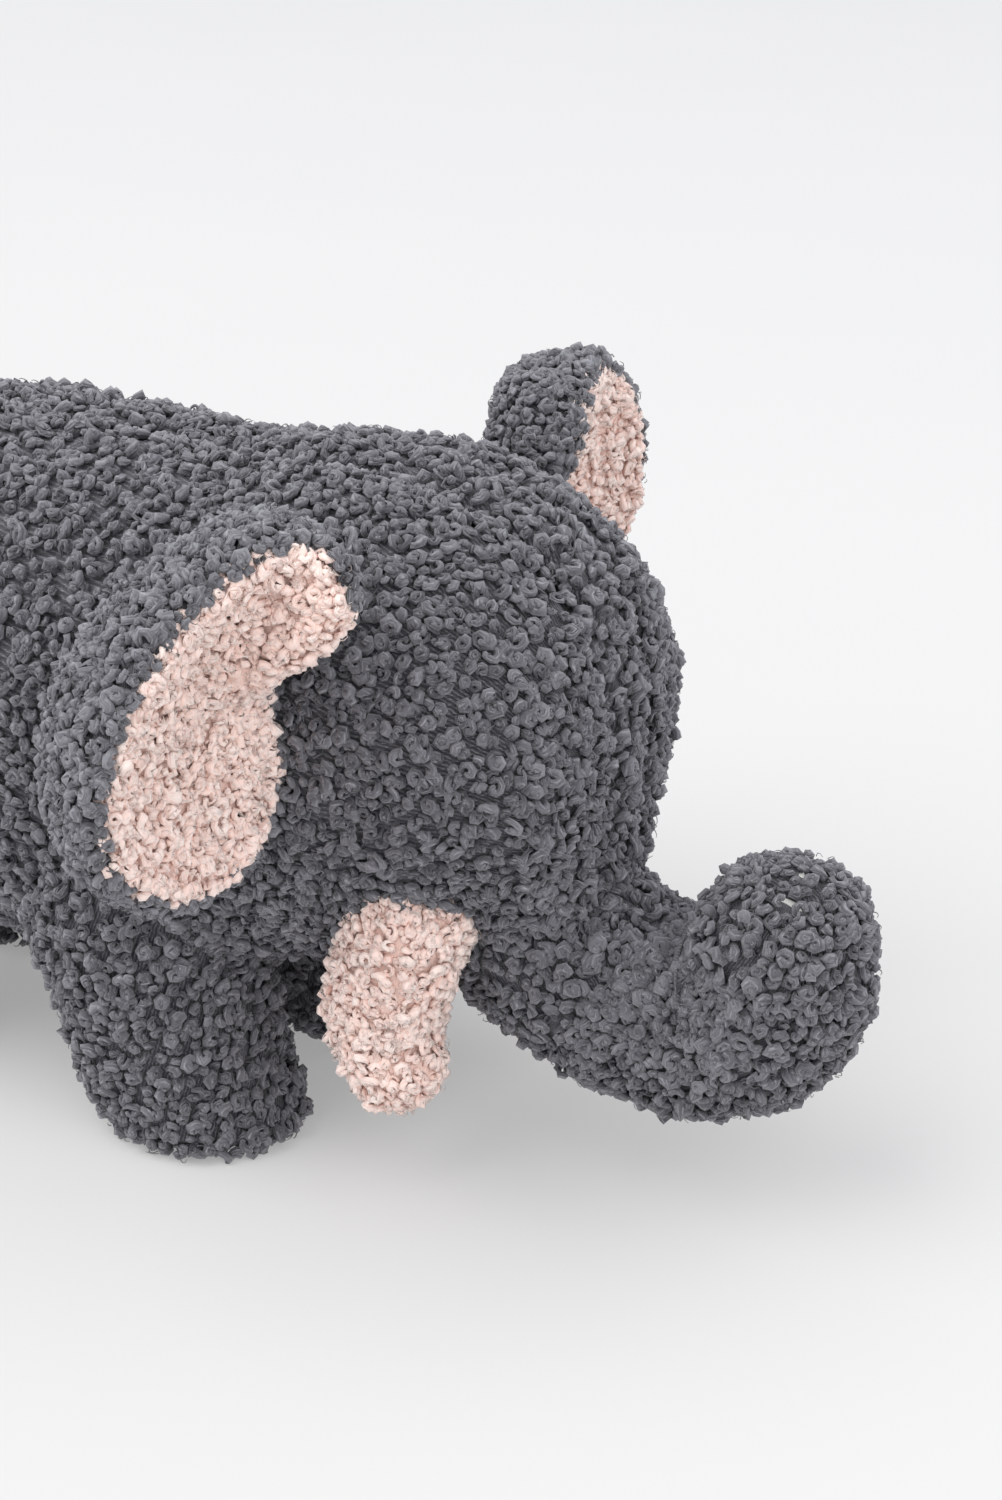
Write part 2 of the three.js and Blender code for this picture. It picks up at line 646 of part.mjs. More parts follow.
// Room for the head at every angle of a right ear, as the ear itself meets it.
const headForm = bodyShape(-socketGap);
const headTurns = [-earFoldForward, 0, earFoldBack / 2, earFoldBack].map((degrees) => {
  const turned = headForm.clone().translate(earRoot.x, -earRoot.y, 0);
  return turned.rotateZ(THREE.MathUtils.degToRad(degrees)).translate(-earRoot.x, earRoot.y, 0);
});
const earLayers = [
  {
    name: 'back',
    finish: greyBoucle,
    surfaces: [{ form: earBackForm, depth: -earBackThick }, { form: earBackForm, depth: 0 }],
  },
  {
    name: 'front',
    finish: pinkBoucle,
    surfaces: [
      { form: earLiningFoot, depth: earLayerGap },
      { form: earLiningFace, depth: earLayerGap + earFrontThick },
    ],
  },
];
for (const { side } of sidesOfToy) {
  const handed = side === 'right' ? (geometry) => geometry : mirrored;
  const edge = new THREE.CatmullRomCurve3(
    earRims[side].map(([out, up, curl]) => new THREE.Vector3(out, up, curl)), true, 'catmullrom', 0.5);
  const headRoomForEar = headTurns.map((turned) => solidOf(handed(turned)))
    .reduce((sum, next) => sum.add(next));
  for (const layer of earLayers) {
    const solid = solidOf(handed(earLayer(edge, layer.surfaces))).subtract(headRoomForEar);
    const largest = solid.decompose().sort((a, b) => b.volume() - a.volume())[0];
    addPiece(`${side}_ear_${layer.name}`, largest, layer.finish);
  }
}

// Centre the toy over its own footprint
const extent = new THREE.Box3().setFromObject(group);
group.position.y = -(extent.min.y + extent.max.y) / 2;
group.updateMatrixWorld(true);

export default group;
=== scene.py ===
import json
import bpy
import numpy as np
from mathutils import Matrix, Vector


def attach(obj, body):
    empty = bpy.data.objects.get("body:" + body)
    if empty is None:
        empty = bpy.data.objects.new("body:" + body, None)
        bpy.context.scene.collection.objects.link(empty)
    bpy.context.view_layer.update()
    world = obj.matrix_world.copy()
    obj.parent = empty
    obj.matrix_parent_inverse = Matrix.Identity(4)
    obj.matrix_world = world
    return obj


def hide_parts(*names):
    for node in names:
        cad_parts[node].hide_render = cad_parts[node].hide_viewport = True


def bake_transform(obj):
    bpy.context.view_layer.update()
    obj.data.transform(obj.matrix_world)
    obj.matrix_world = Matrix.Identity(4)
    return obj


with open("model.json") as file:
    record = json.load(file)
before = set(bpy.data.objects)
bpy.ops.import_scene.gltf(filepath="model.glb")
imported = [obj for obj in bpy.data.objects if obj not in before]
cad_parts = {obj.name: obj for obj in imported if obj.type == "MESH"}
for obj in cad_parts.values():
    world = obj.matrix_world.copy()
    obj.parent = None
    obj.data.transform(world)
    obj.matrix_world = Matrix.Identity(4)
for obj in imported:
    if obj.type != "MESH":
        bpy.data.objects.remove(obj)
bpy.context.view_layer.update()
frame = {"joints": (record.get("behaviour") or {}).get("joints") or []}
unit = 0.001
fullTurn = 2 * np.pi

# The joints give the places that every soft piece is built from, in millimetres.
pivot = {j["name"]: np.array(j["pos_m"]) / unit for j in frame["joints"]}
frontLegBack = 16
shiftY = pivot["front_right_leg_swing"][1] - frontLegBack


def placeCamera(azimuth, elevation, distance, look, aimAside, lens):
    a, e = np.radians(azimuth), np.radians(elevation)
    back = np.array([np.sin(a) * np.cos(e), -np.cos(a) * np.cos(e), np.sin(e)])
    right = np.array([np.cos(a), np.sin(a), 0])
    up = np.cross(back, right)
    eye = np.array(look) + back * distance
    target = np.array(look) + right * aimAside[0] + up * aimAside[1]
    data = bpy.data.cameras.new("mainCamera")
    data.sensor_width = 36
    data.lens = lens
    data.clip_start = 0.05
    data.clip_end = 20
    camera = bpy.data.objects.new("mainCamera", data)
    bpy.context.scene.collection.objects.link(camera)
    camera.location = Vector(eye)
    camera.rotation_euler = Vector(target - eye).to_track_quat("-Z", "Y").to_euler()
    bpy.context.scene.camera = camera


placeCamera(azimuth=-60, elevation=25, distance=0.9, look=(0, -0.06, 0.1),
            aimAside=(0.0151, 0.0123), lens=77.1)
print("camera placed")


# A node socket that can be added to, multiplied and mixed.
class Field:
    def __init__(self, tree, socket):
        self.tree, self.socket = tree, socket

    def node(self, kind, settings=None, **inputs):
        made = self.tree.nodes.new(kind)
        for key, value in (settings or {}).items():
            setattr(made, key, value)
        for key, value in inputs.items():
            slot = made.inputs[int(key[1:])] if key[1:].isdigit() else made.inputs[key.replace("_", " ")]
            if isinstance(value, Field):
                self.tree.links.new(value.socket, slot)
            else:
                slot.default_value = value
        return made

    def out(self, kind, settings=None, pick=0, **inputs):
        return Field(self.tree, self.node(kind, settings, **inputs).outputs[pick])

    def maths(self, operation, a, b=0.0):
        return self.out("ShaderNodeMath", {"operation": operation}, i0=a, i1=b)

    def __add__(self, other):
        return self.maths("ADD", self, other)

    def __radd__(self, other):
        return self.maths("ADD", other, self)

    def __sub__(self, other):
        return self.maths("SUBTRACT", self, other)

    def __rsub__(self, other):
        return self.maths("SUBTRACT", other, self)

    def __mul__(self, other):
        return self.maths("MULTIPLY", self, other)

    def __rmul__(self, other):
        return self.maths("MULTIPLY", other, self)

    def __truediv__(self, other):
        return self.maths("DIVIDE", self, other)

    def __rtruediv__(self, other):
        return self.maths("DIVIDE", other, self)

    def __pow__(self, other):
        return self.maths("POWER", self, other)

    def sine(self):
        return self.maths("SINE", self)

    def clamp(self):
        return self.out("ShaderNodeClamp", i0=self)

    def mix(self, a, b):
        return self.out("ShaderNodeMix", {"data_type": "RGBA"}, pick=2, i0=self, i6=a, i7=b)

    def scaled(self, factor):
        return self.out("ShaderNodeVectorMath", {"operation": "SCALE"}, i0=self, i3=factor)

    def noise(self, detail):
        return self.out("ShaderNodeTexNoise", {"noise_dimensions": "3D"}, Vector=self, Scale=1.0,
                        Detail=detail)


def newMaterial(name):
    material = bpy.data.materials.new(name)
    material.use_nodes = True
    shader = material.node_tree.nodes["Principled BSDF"]
    return material, shader, Field(material.node_tree, None)


def rgb(r, g, b):
    return (r, g, b, 1.0)


# Yarn: strands run along each curl and twist round it, with pale lines along them that are partly painted
# highlight;
# painted shade darkens the root of a curl below its top, each curl has its own tone, and the cloth's edge
# towards the viewer carries a painted sheen of pale fibres.
def yarnMaterial(name, spec):
    material, shader, f = newMaterial(name)
    tone = f.out("ShaderNodeAttribute", {"attribute_name": "tone"}, pick=2)
    rise = f.out("ShaderNodeAttribute", {"attribute_name": "rise"}, pick=2)
    strandUv = f.out("ShaderNodeUVMap", {"uv_map": "strand"})
    split = f.node("ShaderNodeSeparateXYZ", None, i0=strandUv)
    along, around = Field(f.tree, split.outputs[0]), Field(f.tree, split.outputs[1])
    place = f.out("ShaderNodeTexCoord", None, pick=3)
    wander = place.scaled(900.0).noise(3.0)
    fibre = place.scaled(1900.0).noise(3.0)
    lock = f.out("ShaderNodeCombineXYZ", None, i0=along * 5.0, i1=around * 15.0, i2=tone * 37.0)
    hair = lock.noise(2.5)
    hair = ((hair - 0.5) * 2.2 + 0.5).clamp()
    phase = around * spec["strands"] + along * spec["twist"] + wander * 0.9
    twist = (phase * fullTurn).sine() * 0.5 + 0.5
    patchy = place.scaled(45.0).noise(2.0)
    base = tone.clamp().mix(spec["dark"], spec["light"])
    # Painted shade: the lower a point lies in the pile (its rise), the more of the dark gap colour goes in,
    # broken up by hair and patch noise.
    shadow = (rise * 1.15).clamp() ** spec["gap"]
    base = (shadow * 0.66 + hair * 0.42 + patchy * 0.16 - 0.1).clamp().mix(spec["gapShade"], base)
    # Pale lines along the strands where the hair noise and the twist both run high: partly a fibre pattern,
    # partly painted highlight.
    base = ((hair * twist) ** 2.0 * spec["streakHighlight"]).clamp().mix(base, spec["hazeAndHighlight"])
    # Painted sheen: pale fibre colour mixed in where the cloth turns edge-on to the viewer.
    facing = f.out("ShaderNodeLayerWeight", None, pick=1, Blend=0.35)
    base = (facing * fibre * spec["fuzzSheen"]).clamp().mix(base, spec["hazeAndHighlight"])
    f.tree.links.new(base.socket, shader.inputs["Base Color"])
    # Parts whose tone passes one, the loose hairs and the ear backs with their painted light, would be mixed
    # towards the pale colour here, but this mix is not linked to the shader.
    base = ((tone - 1.0) * 1.6).clamp().mix(base, spec["hazeAndHighlight"])
    height = twist * 0.35 + hair * 0.5 + fibre * 0.25
    bump = f.out("ShaderNodeBump", None, Strength=spec["bump"], Distance=0.0005, Height=height)
    f.tree.links.new(bump.socket, shader.inputs["Normal"])
    shader.inputs["Roughness"].default_value = 0.92
    shader.inputs["Sheen Weight"].default_value = spec["sheen"]
    shader.inputs["Sheen Roughness"].default_value = 0.55
    shader.inputs["Sheen Tint"].default_value = spec["sheenTint"]
    shader.inputs["Specular IOR Level"].default_value = 0.18
    return material


# Fibre filling: off-white, cloudy with fine fibres.
def fillMaterial():
    material, shader, f = newMaterial("fibreFill")
    place = f.out("ShaderNodeTexCoord", None, pick=3)
    cloud = place.scaled(120.0).noise(5.0)
    base = cloud.clamp().mix(rgb(0.72, 0.71, 0.68), rgb(0.9, 0.89, 0.87))
    f.tree.links.new(base.socket, shader.inputs["Base Color"])
    bump = f.out("ShaderNodeBump", None, Strength=0.5, Distance=0.001, Height=cloud)
    f.tree.links.new(bump.socket, shader.inputs["Normal"])
    shader.inputs["Roughness"].default_value = 1.0
    return material


# Floor: one pale matte tone with a very faint cloudiness, that also glows a little: painted light that lifts
# the shadows on it.
def floorMaterial():
    material, shader, f = newMaterial("glowingFloor")
    place = f.out("ShaderNodeTexCoord", None, pick=3)
    cloud = place.scaled(3.0).noise(2.0)
    base = cloud.clamp().mix(rgb(0.44, 0.437, 0.434), rgb(0.46, 0.456, 0.452))
    f.tree.links.new(base.socket, shader.inputs["Base Color"])
    # Painted light: the floor glows though it is no lamp, so the shadows on it stay light.
    shader.inputs["Emission Color"].default_value = rgb(1.0, 0.99, 0.985)
    shader.inputs["Emission Strength"].default_value = 0.29
    shader.inputs["Roughness"].default_value = 0.85
    return material


# For each yarn: the tone range, the dark colour of the painted shade between curls, and a pale fibre colour
# that is also the colour of the painted highlights and sheen.
yarn = {
    "grey": yarnMaterial("greyYarn", {
        "dark": rgb(0.108, 0.105, 0.117), "light": rgb(0.220, 0.215, 0.238),
        "gapShade": rgb(0.020, 0.019, 0.023), "hazeAndHighlight": rgb(0.42, 0.41, 0.44),
        "fuzzSheen": 0.85, "strands": 5.0, "twist": 2.0, "bump": 0.9, "streakHighlight": 0.9, "gap": 1.5,
        "sheen": 0.25, "sheenTint": rgb(0.75, 0.77, 0.82),
    }),
    "pink": yarnMaterial("pinkYarn", {
        "dark": rgb(0.99, 0.74, 0.665), "light": rgb(1.0, 0.86, 0.80),
        "gapShade": rgb(0.97, 0.63, 0.53), "hazeAndHighlight": rgb(1.0, 0.94, 0.91),
        "fuzzSheen": 0.6, "strands": 5.0, "twist": 2.0, "bump": 0.7, "streakHighlight": 0.6, "gap": 0.8,
        "sheen": 0.2, "sheenTint": rgb(1.0, 0.9, 0.87),
    }),
}
fibre = fillMaterial()
print("materials made")


# A uniform Catmull-Rom curve through rows, at t from 0 to the last row's number.
def smoothRows(rows, t):
    rows = np.asarray(rows, float)
    padded = np.vstack([2 * rows[0] - rows[1], rows, 2 * rows[-1] - rows[-2]])
    t = np.clip(np.asarray(t, float), 0, len(rows) - 1)
    k = np.minimum(t.astype(int), len(rows) - 2)
    f = (t - k)[..., None]
    a, b, c, d = padded[k], padded[k + 1], padded[k + 2], padded[k + 3]
    m0, m1 = (c - a) / 2, (d - b) / 2
    return ((2 * f**3 - 3 * f**2 + 1) * b + (f**3 - 2 * f**2 + f) * m0
            + (-2 * f**3 + 3 * f**2) * c + (f**3 - f**2) * m1)


# The same curve round a closed loop of rows; turn runs from 0 to 1.
def closedRows(rows, turn):
    rows = np.asarray(rows, float)
    n = len(rows)
    t = np.mod(turn, 1.0) * n
    k = np.floor(t).astype(int)
    f = (t - k)[..., None]
    a, b, c, d = rows[(k - 1) % n], rows[k % n], rows[(k + 1) % n], rows[(k + 2) % n]
    m0, m1 = (c - a) / 2, (d - b) / 2
    return ((2 * f**3 - 3 * f**2 + 1) * b + (f**3 - 2 * f**2 + f) * m0
            + (-2 * f**3 + 3 * f**2) * c + (f**3 - f**2) * m1)


def unitOf(v):
    return v / np.maximum(np.linalg.norm(v, axis=-1, keepdims=True), 1e-9)


# The cross product of a grid's own two directions.
def gridNormals(g, closed):
    du = np.gradient(g, axis=0)
    if closed:
        dv = (np.roll(g, -1, 1) - np.roll(g, 1, 1)) / 2
    else:
        dv = np.gradient(g, axis=1)
    return unitOf(np.cross(du, dv))


# The grid with its columns turned, if need be, so that its normals point away from core.
def facing(g, closed, core):
    if (gridNormals(g, closed) * (g - core)).sum() < 0:
        g = g[:, ::-1]
    return g


# A soft bumpy number from -1 to 1 for each point, with bumps about size across.
def waves(points, size, seed):
    rng = np.random.default_rng(seed)
    total = np.zeros(points.shape[:-1])
    for _ in range(7):
        way = unitOf(rng.normal(size=3)) * (2 * np.pi / size) * rng.uniform(0.7, 1.5)
        total += np.sin(points @ way + rng.uniform(0, fullTurn))
    return total / 4


bodySpec = {
    "rows": [
        [-121, 132, 132, 0], [-118.5, 153, 105, 22], [-110.5, 173, 81, 42], [-88, 190, 71, 58],
        [-60, 199, 58, 66], [-30, 198, 49, 68], [5, 193, 40, 70], [45, 194, 35, 71.5],
        [85, 193.5, 34, 71.5], [118, 186, 40, 66], [143, 168, 57, 52], [159, 142, 83, 30],
        [165, 111, 111, 0],
    ],
    "headGusset": 12, "gussetEnd": 12, "gussetFull": -40,
    "bellyRows": [[-62, 1], [-15, 17], [110, 17], [150, 1]], "acrossBend": 66.0, "seam": 4.6,
}
legSpec = {
    "hipRadius": 33, "ankleRadius": 28.5, "sole": 27, "soleThick": 6,
    "leans": {"front": 18, "rear": -4},
}
trunkSpec = {
    "rows": [[-60, 97, 29], [-74, 84, 30], [-92, 69, 30], [-112, 57, 28.5], [-134, 50, 27],
             [-156, 54.5, 26], [-165, 67, 25.3], [-167, 78, 25]],
    "gusset": 10, "bend": 4, "seam": 1.6,
}
tuskSpec = {"path": [[43, -74, 79], [43.5, -66, 54], [44, -70, 39]], "radii": [14, 15.5, 13.5]}
tailSpec = {"rows": [[158, 127, 8], [171, 120, 7.5], [179, 104, 7], [180, 86, 7], [179, 74, 6.5]]}

bodyNose, bodyRump = bodySpec["rows"][0][0], bodySpec["rows"][-1][0]
bodyMiddle, bodyHalfLength = (bodyNose + bodyRump) / 2, (bodyRump - bodyNose) / 2
denseT = np.linspace(0, len(bodySpec["rows"]) - 1, 400)
denseBody = smoothRows(bodySpec["rows"], denseT)


# y, middle height, half height and half width of the body at row number t.
def bodyRing(t):
    r = smoothRows(bodySpec["rows"], t)
    return r[..., 0], (r[..., 1] + r[..., 2]) / 2, (r[..., 1] - r[..., 2]) / 2, np.maximum(r[..., 3], 0.01)


# How far a point is outside the body: its cross-sections are ovals, so the distance is the oval's
# scale at the point less one, times the smaller half size, and straight past the two ends.
def bodyDistance(p):
    y = p[..., 1] - shiftY
    top = np.interp(y, denseBody[:, 0], denseBody[:, 1])
    low = np.interp(y, denseBody[:, 0], denseBody[:, 2])
    wide = np.maximum(np.interp(y, denseBody[:, 0], denseBody[:, 3]), 0.5)
    high = np.maximum((top - low) / 2, 0.5)
    q = np.hypot(p[..., 0] / wide, (p[..., 2] - (top + low) / 2) / high)
    d = (q - 1) * np.minimum(wide, high)
    beyond = np.maximum(bodyNose - y, y - bodyRump)
    return np.where(beyond > 0, np.hypot(np.maximum(d, 0), beyond), d)


# How far a point is outside a chain of straight tapering lengths: the least distance to any of them.
def tubeDistance(p, path, radii):
    best = np.full(p.shape[:-1], 1e9)
    for (a, ra), (b, rb) in zip(zip(path[:-1], radii[:-1]), zip(path[1:], radii[1:])):
        ab = b - a
        t = np.clip(((p - a) @ ab) / (ab @ ab), 0, 1)
        best = np.minimum(best, np.linalg.norm(p - a - t[..., None] * ab, axis=-1) - (ra + (rb - ra) * t))
    return best


def legPlace(place, sign):
    hip = pivot[f"{place}_{'right' if sign < 0 else 'left'}_leg_swing"]
    return hip, np.tan(np.radians(legSpec["leans"][place]))


# How far a point is outside a leg: a leaning cone below the hip, a dome above it.
def legDistance(p, place, sign):
    hip, lean = legPlace(place, sign)
    below = np.maximum(hip[2] - p[..., 2], 0)
    radius = legSpec["hipRadius"] - (legSpec["hipRadius"] - legSpec["ankleRadius"]) * below / hip[2]
    flat = np.hypot(p[..., 0] - hip[0], p[..., 1] - (hip[1] - lean * below))
    return np.hypot(flat, np.maximum(p[..., 2] - hip[2], 0)) - radius


trunkPath = np.array([[0, y + shiftY, z] for y, z, _ in trunkSpec["rows"]])
trunkRadii = np.array([r for _, _, r in trunkSpec["rows"]], float)
tailPath = np.array([[0, y + shiftY, z] for y, z, _ in tailSpec["rows"]])
tailRadii = np.array([r for _, _, r in tailSpec["rows"]], float)
tuskRadii = np.array(tuskSpec["radii"], float)
sides = {"right": -1, "left": 1}


def tuskPath(sign):
    return np.array([[sign * x, y + shiftY, z] for x, y, z in tuskSpec["path"]])


# name, distance function, fillet width for every part except those in skip.
def neighbours(skip):
    every = [("body", bodyDistance, 12)]
    every += [(f"{place}{side}", lambda p, a=place, s=sign: legDistance(p, a, s), 12)
              for place in ("front", "rear") for side, sign in sides.items()]
    every += [("trunk", lambda p: tubeDistance(p, trunkPath, trunkRadii), 20)]
    every += [(f"tusk{side}", lambda p, s=sign: tubeDistance(p, tuskPath(s), tuskRadii), 5)
              for side, sign in sides.items()]
    every += [("tail", lambda p: tubeDistance(p, tailPath, tailRadii), 4)]
    return [e for e in every if e[0] not in skip]


lumps = {"size": 38, "height": 0.9, "seed": 5}


# The grid with shallow lumps and with a fillet wherever another part meets it: within the fillet's
# width of the other part, the push is (width - distance) squared over four widths.
def softened(g, closed, skip):
    n = gridNormals(g, closed)
    push = waves(g, lumps["size"], lumps["seed"]) * lumps["height"]
    for _, distance, width in neighbours(skip):
        reach = np.maximum(width - np.abs(distance(g)), 0)
        push = push + reach**2 / (4 * width)
    return g + n * push[..., None]


# No yarn comes nearer to the floor than floorClear.
floorClear = 0.3
curlSpec = {
    "grey": {"spacing": 4.3, "radius": 1.75, "thick": 1.14, "sink": 1.7, "plate": 2.1, "crest": 0.7,
             "steps": 9, "around": 4, "seed": 11},
    "pink": {"spacing": 3.45, "radius": 1.60, "thick": 1.0, "sink": 1.5, "plate": 1.2, "crest": 0.6,
             "steps": 9, "around": 4, "seed": 23},
}


# Places between a grid's points, weighted by how near each corner of the cell is.
def bilinear(g, u, v, closed):
    rows, cols = g.shape[:2]
    u = np.clip(u, 0, rows - 1.001)
    v = np.mod(v, cols) if closed else np.clip(v, 0, cols - 1.001)
    i, j = u.astype(int), v.astype(int)
    fu, fv = (u - i)[:, None], (v - j)[:, None]
    j2 = (j + 1) % cols
    return ((g[i, j] * (1 - fv) + g[i, j2] * fv) * (1 - fu)
            + (g[i + 1, j] * (1 - fv) + g[i + 1, j2] * fv) * fu)


# Evenly spread, jittered places on a grid, as two arrays of grid coordinates.
def scatter(g, closed, spacing, rng):
    rows, cols = g.shape[:2]
    lengths = np.linalg.norm(np.diff(g, axis=0), axis=-1).max(1)
    run = np.concatenate([[0], np.cumsum(lengths)])
    step = spacing * 0.87
    count = max(int(run[-1] / step), 1)
    at = np.interp((np.arange(count) + 0.5) * run[-1] / count, run, np.arange(rows))
    us, vs = [], []
    for number, u in enumerate(at):
        i = min(int(u), rows - 2)
        line = g[i] * (1 - (u - i)) + g[i + 1] * (u - i)
        if closed:
            line = np.vstack([line, line[:1]])
        arc = np.concatenate([[0], np.cumsum(np.linalg.norm(np.diff(line, axis=0), axis=-1))])
        n = int(round(arc[-1] / spacing))
        if n < 1:
            continue
        slots = (np.arange(n) + 0.5 + (0.25 if number % 2 else -0.25) + rng.uniform(-0.33, 0.33, n)) / n
        slots = np.mod(slots, 1) if closed else np.clip(slots, 0.25 / n, 1 - 0.25 / n)
        vs.append(np.interp(slots * arc[-1], arc, np.arange(len(arc))))
        us.append(u + rng.uniform(-0.36, 0.36, n) * (rows / count))
    return np.concatenate(us), np.concatenate(vs)


# Unit directions in the cloth, along its rows and across them.
def onCloth(normal, along):
    across = unitOf(np.cross(normal, along))
    return np.cross(across, normal), across


# Rings of points round each line, at the given half thickness.
def sleeve(line, side, top, thick, around):
    turn = np.linspace(0, fullTurn, around, endpoint=False)[None, None, :, None]
    ring = np.cos(turn) * side[:, :, None] + np.sin(turn) * top[:, :, None]
    return line[:, :, None] + ring * thick[:, :, None, None]


# Lines given as forward, sideways and upward distances from places on the cloth.
def linesOn(place, forward, across, normal, x, y, z):
    return (place[:, None] + x[..., None] * forward[:, None] + y[..., None] * across[:, None]
            + z[..., None] * normal[:, None])


# Short coiled tufts of yarn standing on the cloth, one at each place.
# Centre line: a closing spiral of 0.9 to 1.55 turns that leans and rises; the tube swells and tapers.
def curlTubes(place, normal, along, spec, rng):
    n, steps, around = len(place), spec["steps"], spec["around"]
    s = np.linspace(0, 1, steps)[None, :]
    size = 0.72 + 0.62 * rng.beta(1.6, 2.2, (n, 1))
    hand = rng.choice([-1, 1], (n, 1))
    angle = rng.uniform(0, fullTurn, (n, 1)) + hand * rng.uniform(0.9, 1.55, (n, 1)) * fullTurn * s**0.9
    knot = rng.beta(0.8, 0.8, (n, 1))
    reach = spec["radius"] * size * (1.12 - 0.82 * s) * (1.08 - 0.3 * knot)
    oval = rng.uniform(0.8, 1.25, (n, 1))
    x, y = reach * np.cos(angle) * oval, reach * np.sin(angle) / oval
    crest = rng.uniform(0.9, 1.7, (n, 1))
    climb = rng.uniform(-0.2, 1.0, (n, 1)) * s
    z = spec["thick"] * size * (0.1 + crest * np.sin(np.pi * (0.06 + 0.6 * s)) + climb)
    for axis in (x, y, z):
        axis += 0.28 * np.sin(s * rng.uniform(4, 11, (n, 1)) + rng.uniform(0, fullTurn, (n, 1)))
    tilt, way = rng.uniform(0, 1.25, (n, 1)), rng.uniform(0, fullTurn, (n, 1))
    z = z + (x * np.cos(way) + y * np.sin(way)) * tilt + rng.uniform(-0.45, 0.45, (n, 1))
    forward, across = onCloth(normal, along)
    line = linesOn(place, forward, across, normal, x, y, z - spec["sink"])
    tangent = unitOf(np.gradient(line, axis=1))
    side = unitOf(np.cross(tangent, normal[:, None] + 0.3 * forward[:, None]))
    top = np.cross(side, tangent)
    swell = 1 + 0.16 * np.sin(s * rng.uniform(9, 20, (n, 1)) + rng.uniform(0, fullTurn, (n, 1)))
    thick = spec["thick"] * size * (0.28 + 0.8 * np.sin(np.pi * (0.07 + 0.86 * s)) ** 0.7) * swell
    thick = thick * (0.86 + 0.42 * knot)
    points = sleeve(line, side, top, thick, around)
    # rise, how high each point stands above the curl's root, sets how much painted shade the yarn material
    # puts on it.
    high = ((points - place[:, None, None]) * normal[:, None, None]).sum(-1)
    rise = np.clip((high + spec["sink"] + 0.3) / (spec["sink"] + 2.0), 0, 1)
    tone = np.broadcast_to(rng.beta(2.2, 2.2, (n, 1, 1)), rise.shape)
    points[..., 2] = np.maximum(points[..., 2], floorClear)
    return points, rise, tone


# Thin loose hooks of yarn: an arc that leaves the pile and turns back to it.
def wispTubes(place, normal, along, rng):
    n, steps, around = len(place), 9, 4
    s = np.linspace(0, 1, steps)[None, :]
    size = rng.uniform(0.8, 1.3, (n, 1))
    way = rng.uniform(0, fullTurn, (n, 1))
    span = rng.uniform(1.4, 2.5, (n, 1)) * size
    bend = np.pi * rng.uniform(0.9, 1.5, (n, 1)) * s
    out = span * (1 - np.cos(bend)) * 0.5
    z = span * np.sin(bend) * rng.uniform(0.5, 0.95, (n, 1)) + 0.2
    drift = rng.uniform(-1, 1, (n, 1)) * s * 1.6
    forward, across = onCloth(normal, along)
    x = out * np.cos(way) - drift * np.sin(way)
    y = out * np.sin(way) + drift * np.cos(way)
    line = linesOn(place, forward, across, normal, x, y, z)
    tangent = unitOf(np.gradient(line, axis=1))
    side = unitOf(np.cross(tangent, normal[:, None] + 0.37 * forward[:, None] + 0.11 * across[:, None]))
    top = np.cross(side, tangent)
    thick = 0.44 * size * (0.45 + 0.55 * np.sin(np.pi * (0.1 + 0.8 * s)))
    points = sleeve(line, side, top, thick, around)
    points[..., 2] = np.maximum(points[..., 2], floorClear)
    rise = np.ones(points.shape[:3])
    tone = np.broadcast_to(rng.uniform(0.4, 1, (n, 1, 1)), rise.shape)
    return points, rise, tone


# Fine loose fibres: short arcs that start in the pile and lie low over the curls.
def hairTubes(place, normal, along, spec, rng):
    n, steps, around = len(place), 4, 4
    s = np.linspace(0, 1, steps)[None, :]
    way = rng.uniform(0, fullTurn, (n, 1)) + rng.uniform(-1.6, 1.6, (n, 1)) * s
    span = rng.uniform(1.6, 3.6, (n, 1))
    lift = rng.uniform(0.5, 1.9, (n, 1)) * np.sin(np.pi * (0.1 + rng.uniform(0.5, 0.8, (n, 1)) * s))
    forward, across = onCloth(normal, along)
    x = (s - 0.5) * span * np.cos(way)
    y = (s - 0.5) * span * np.sin(way)
    z = spec["crest"] + lift
    line = linesOn(place, forward, across, normal, x, y, z)
    tangent = unitOf(np.gradient(line, axis=1))
    side = unitOf(np.cross(tangent, normal[:, None] + 0.37 * forward[:, None] + 0.11 * across[:, None]))
    top = np.cross(side, tangent)
    thick = rng.uniform(0.10, 0.17, (n, 1)) * (1.1 - 0.6 * s)
    points = sleeve(line, side, top, thick, around)
    points[..., 2] = np.maximum(points[..., 2], floorClear)
    rise = np.ones(points.shape[:3])
    tone = np.broadcast_to(rng.uniform(0.9, 1.45, (n, 1, 1)), rise.shape)
    return points, rise, tone


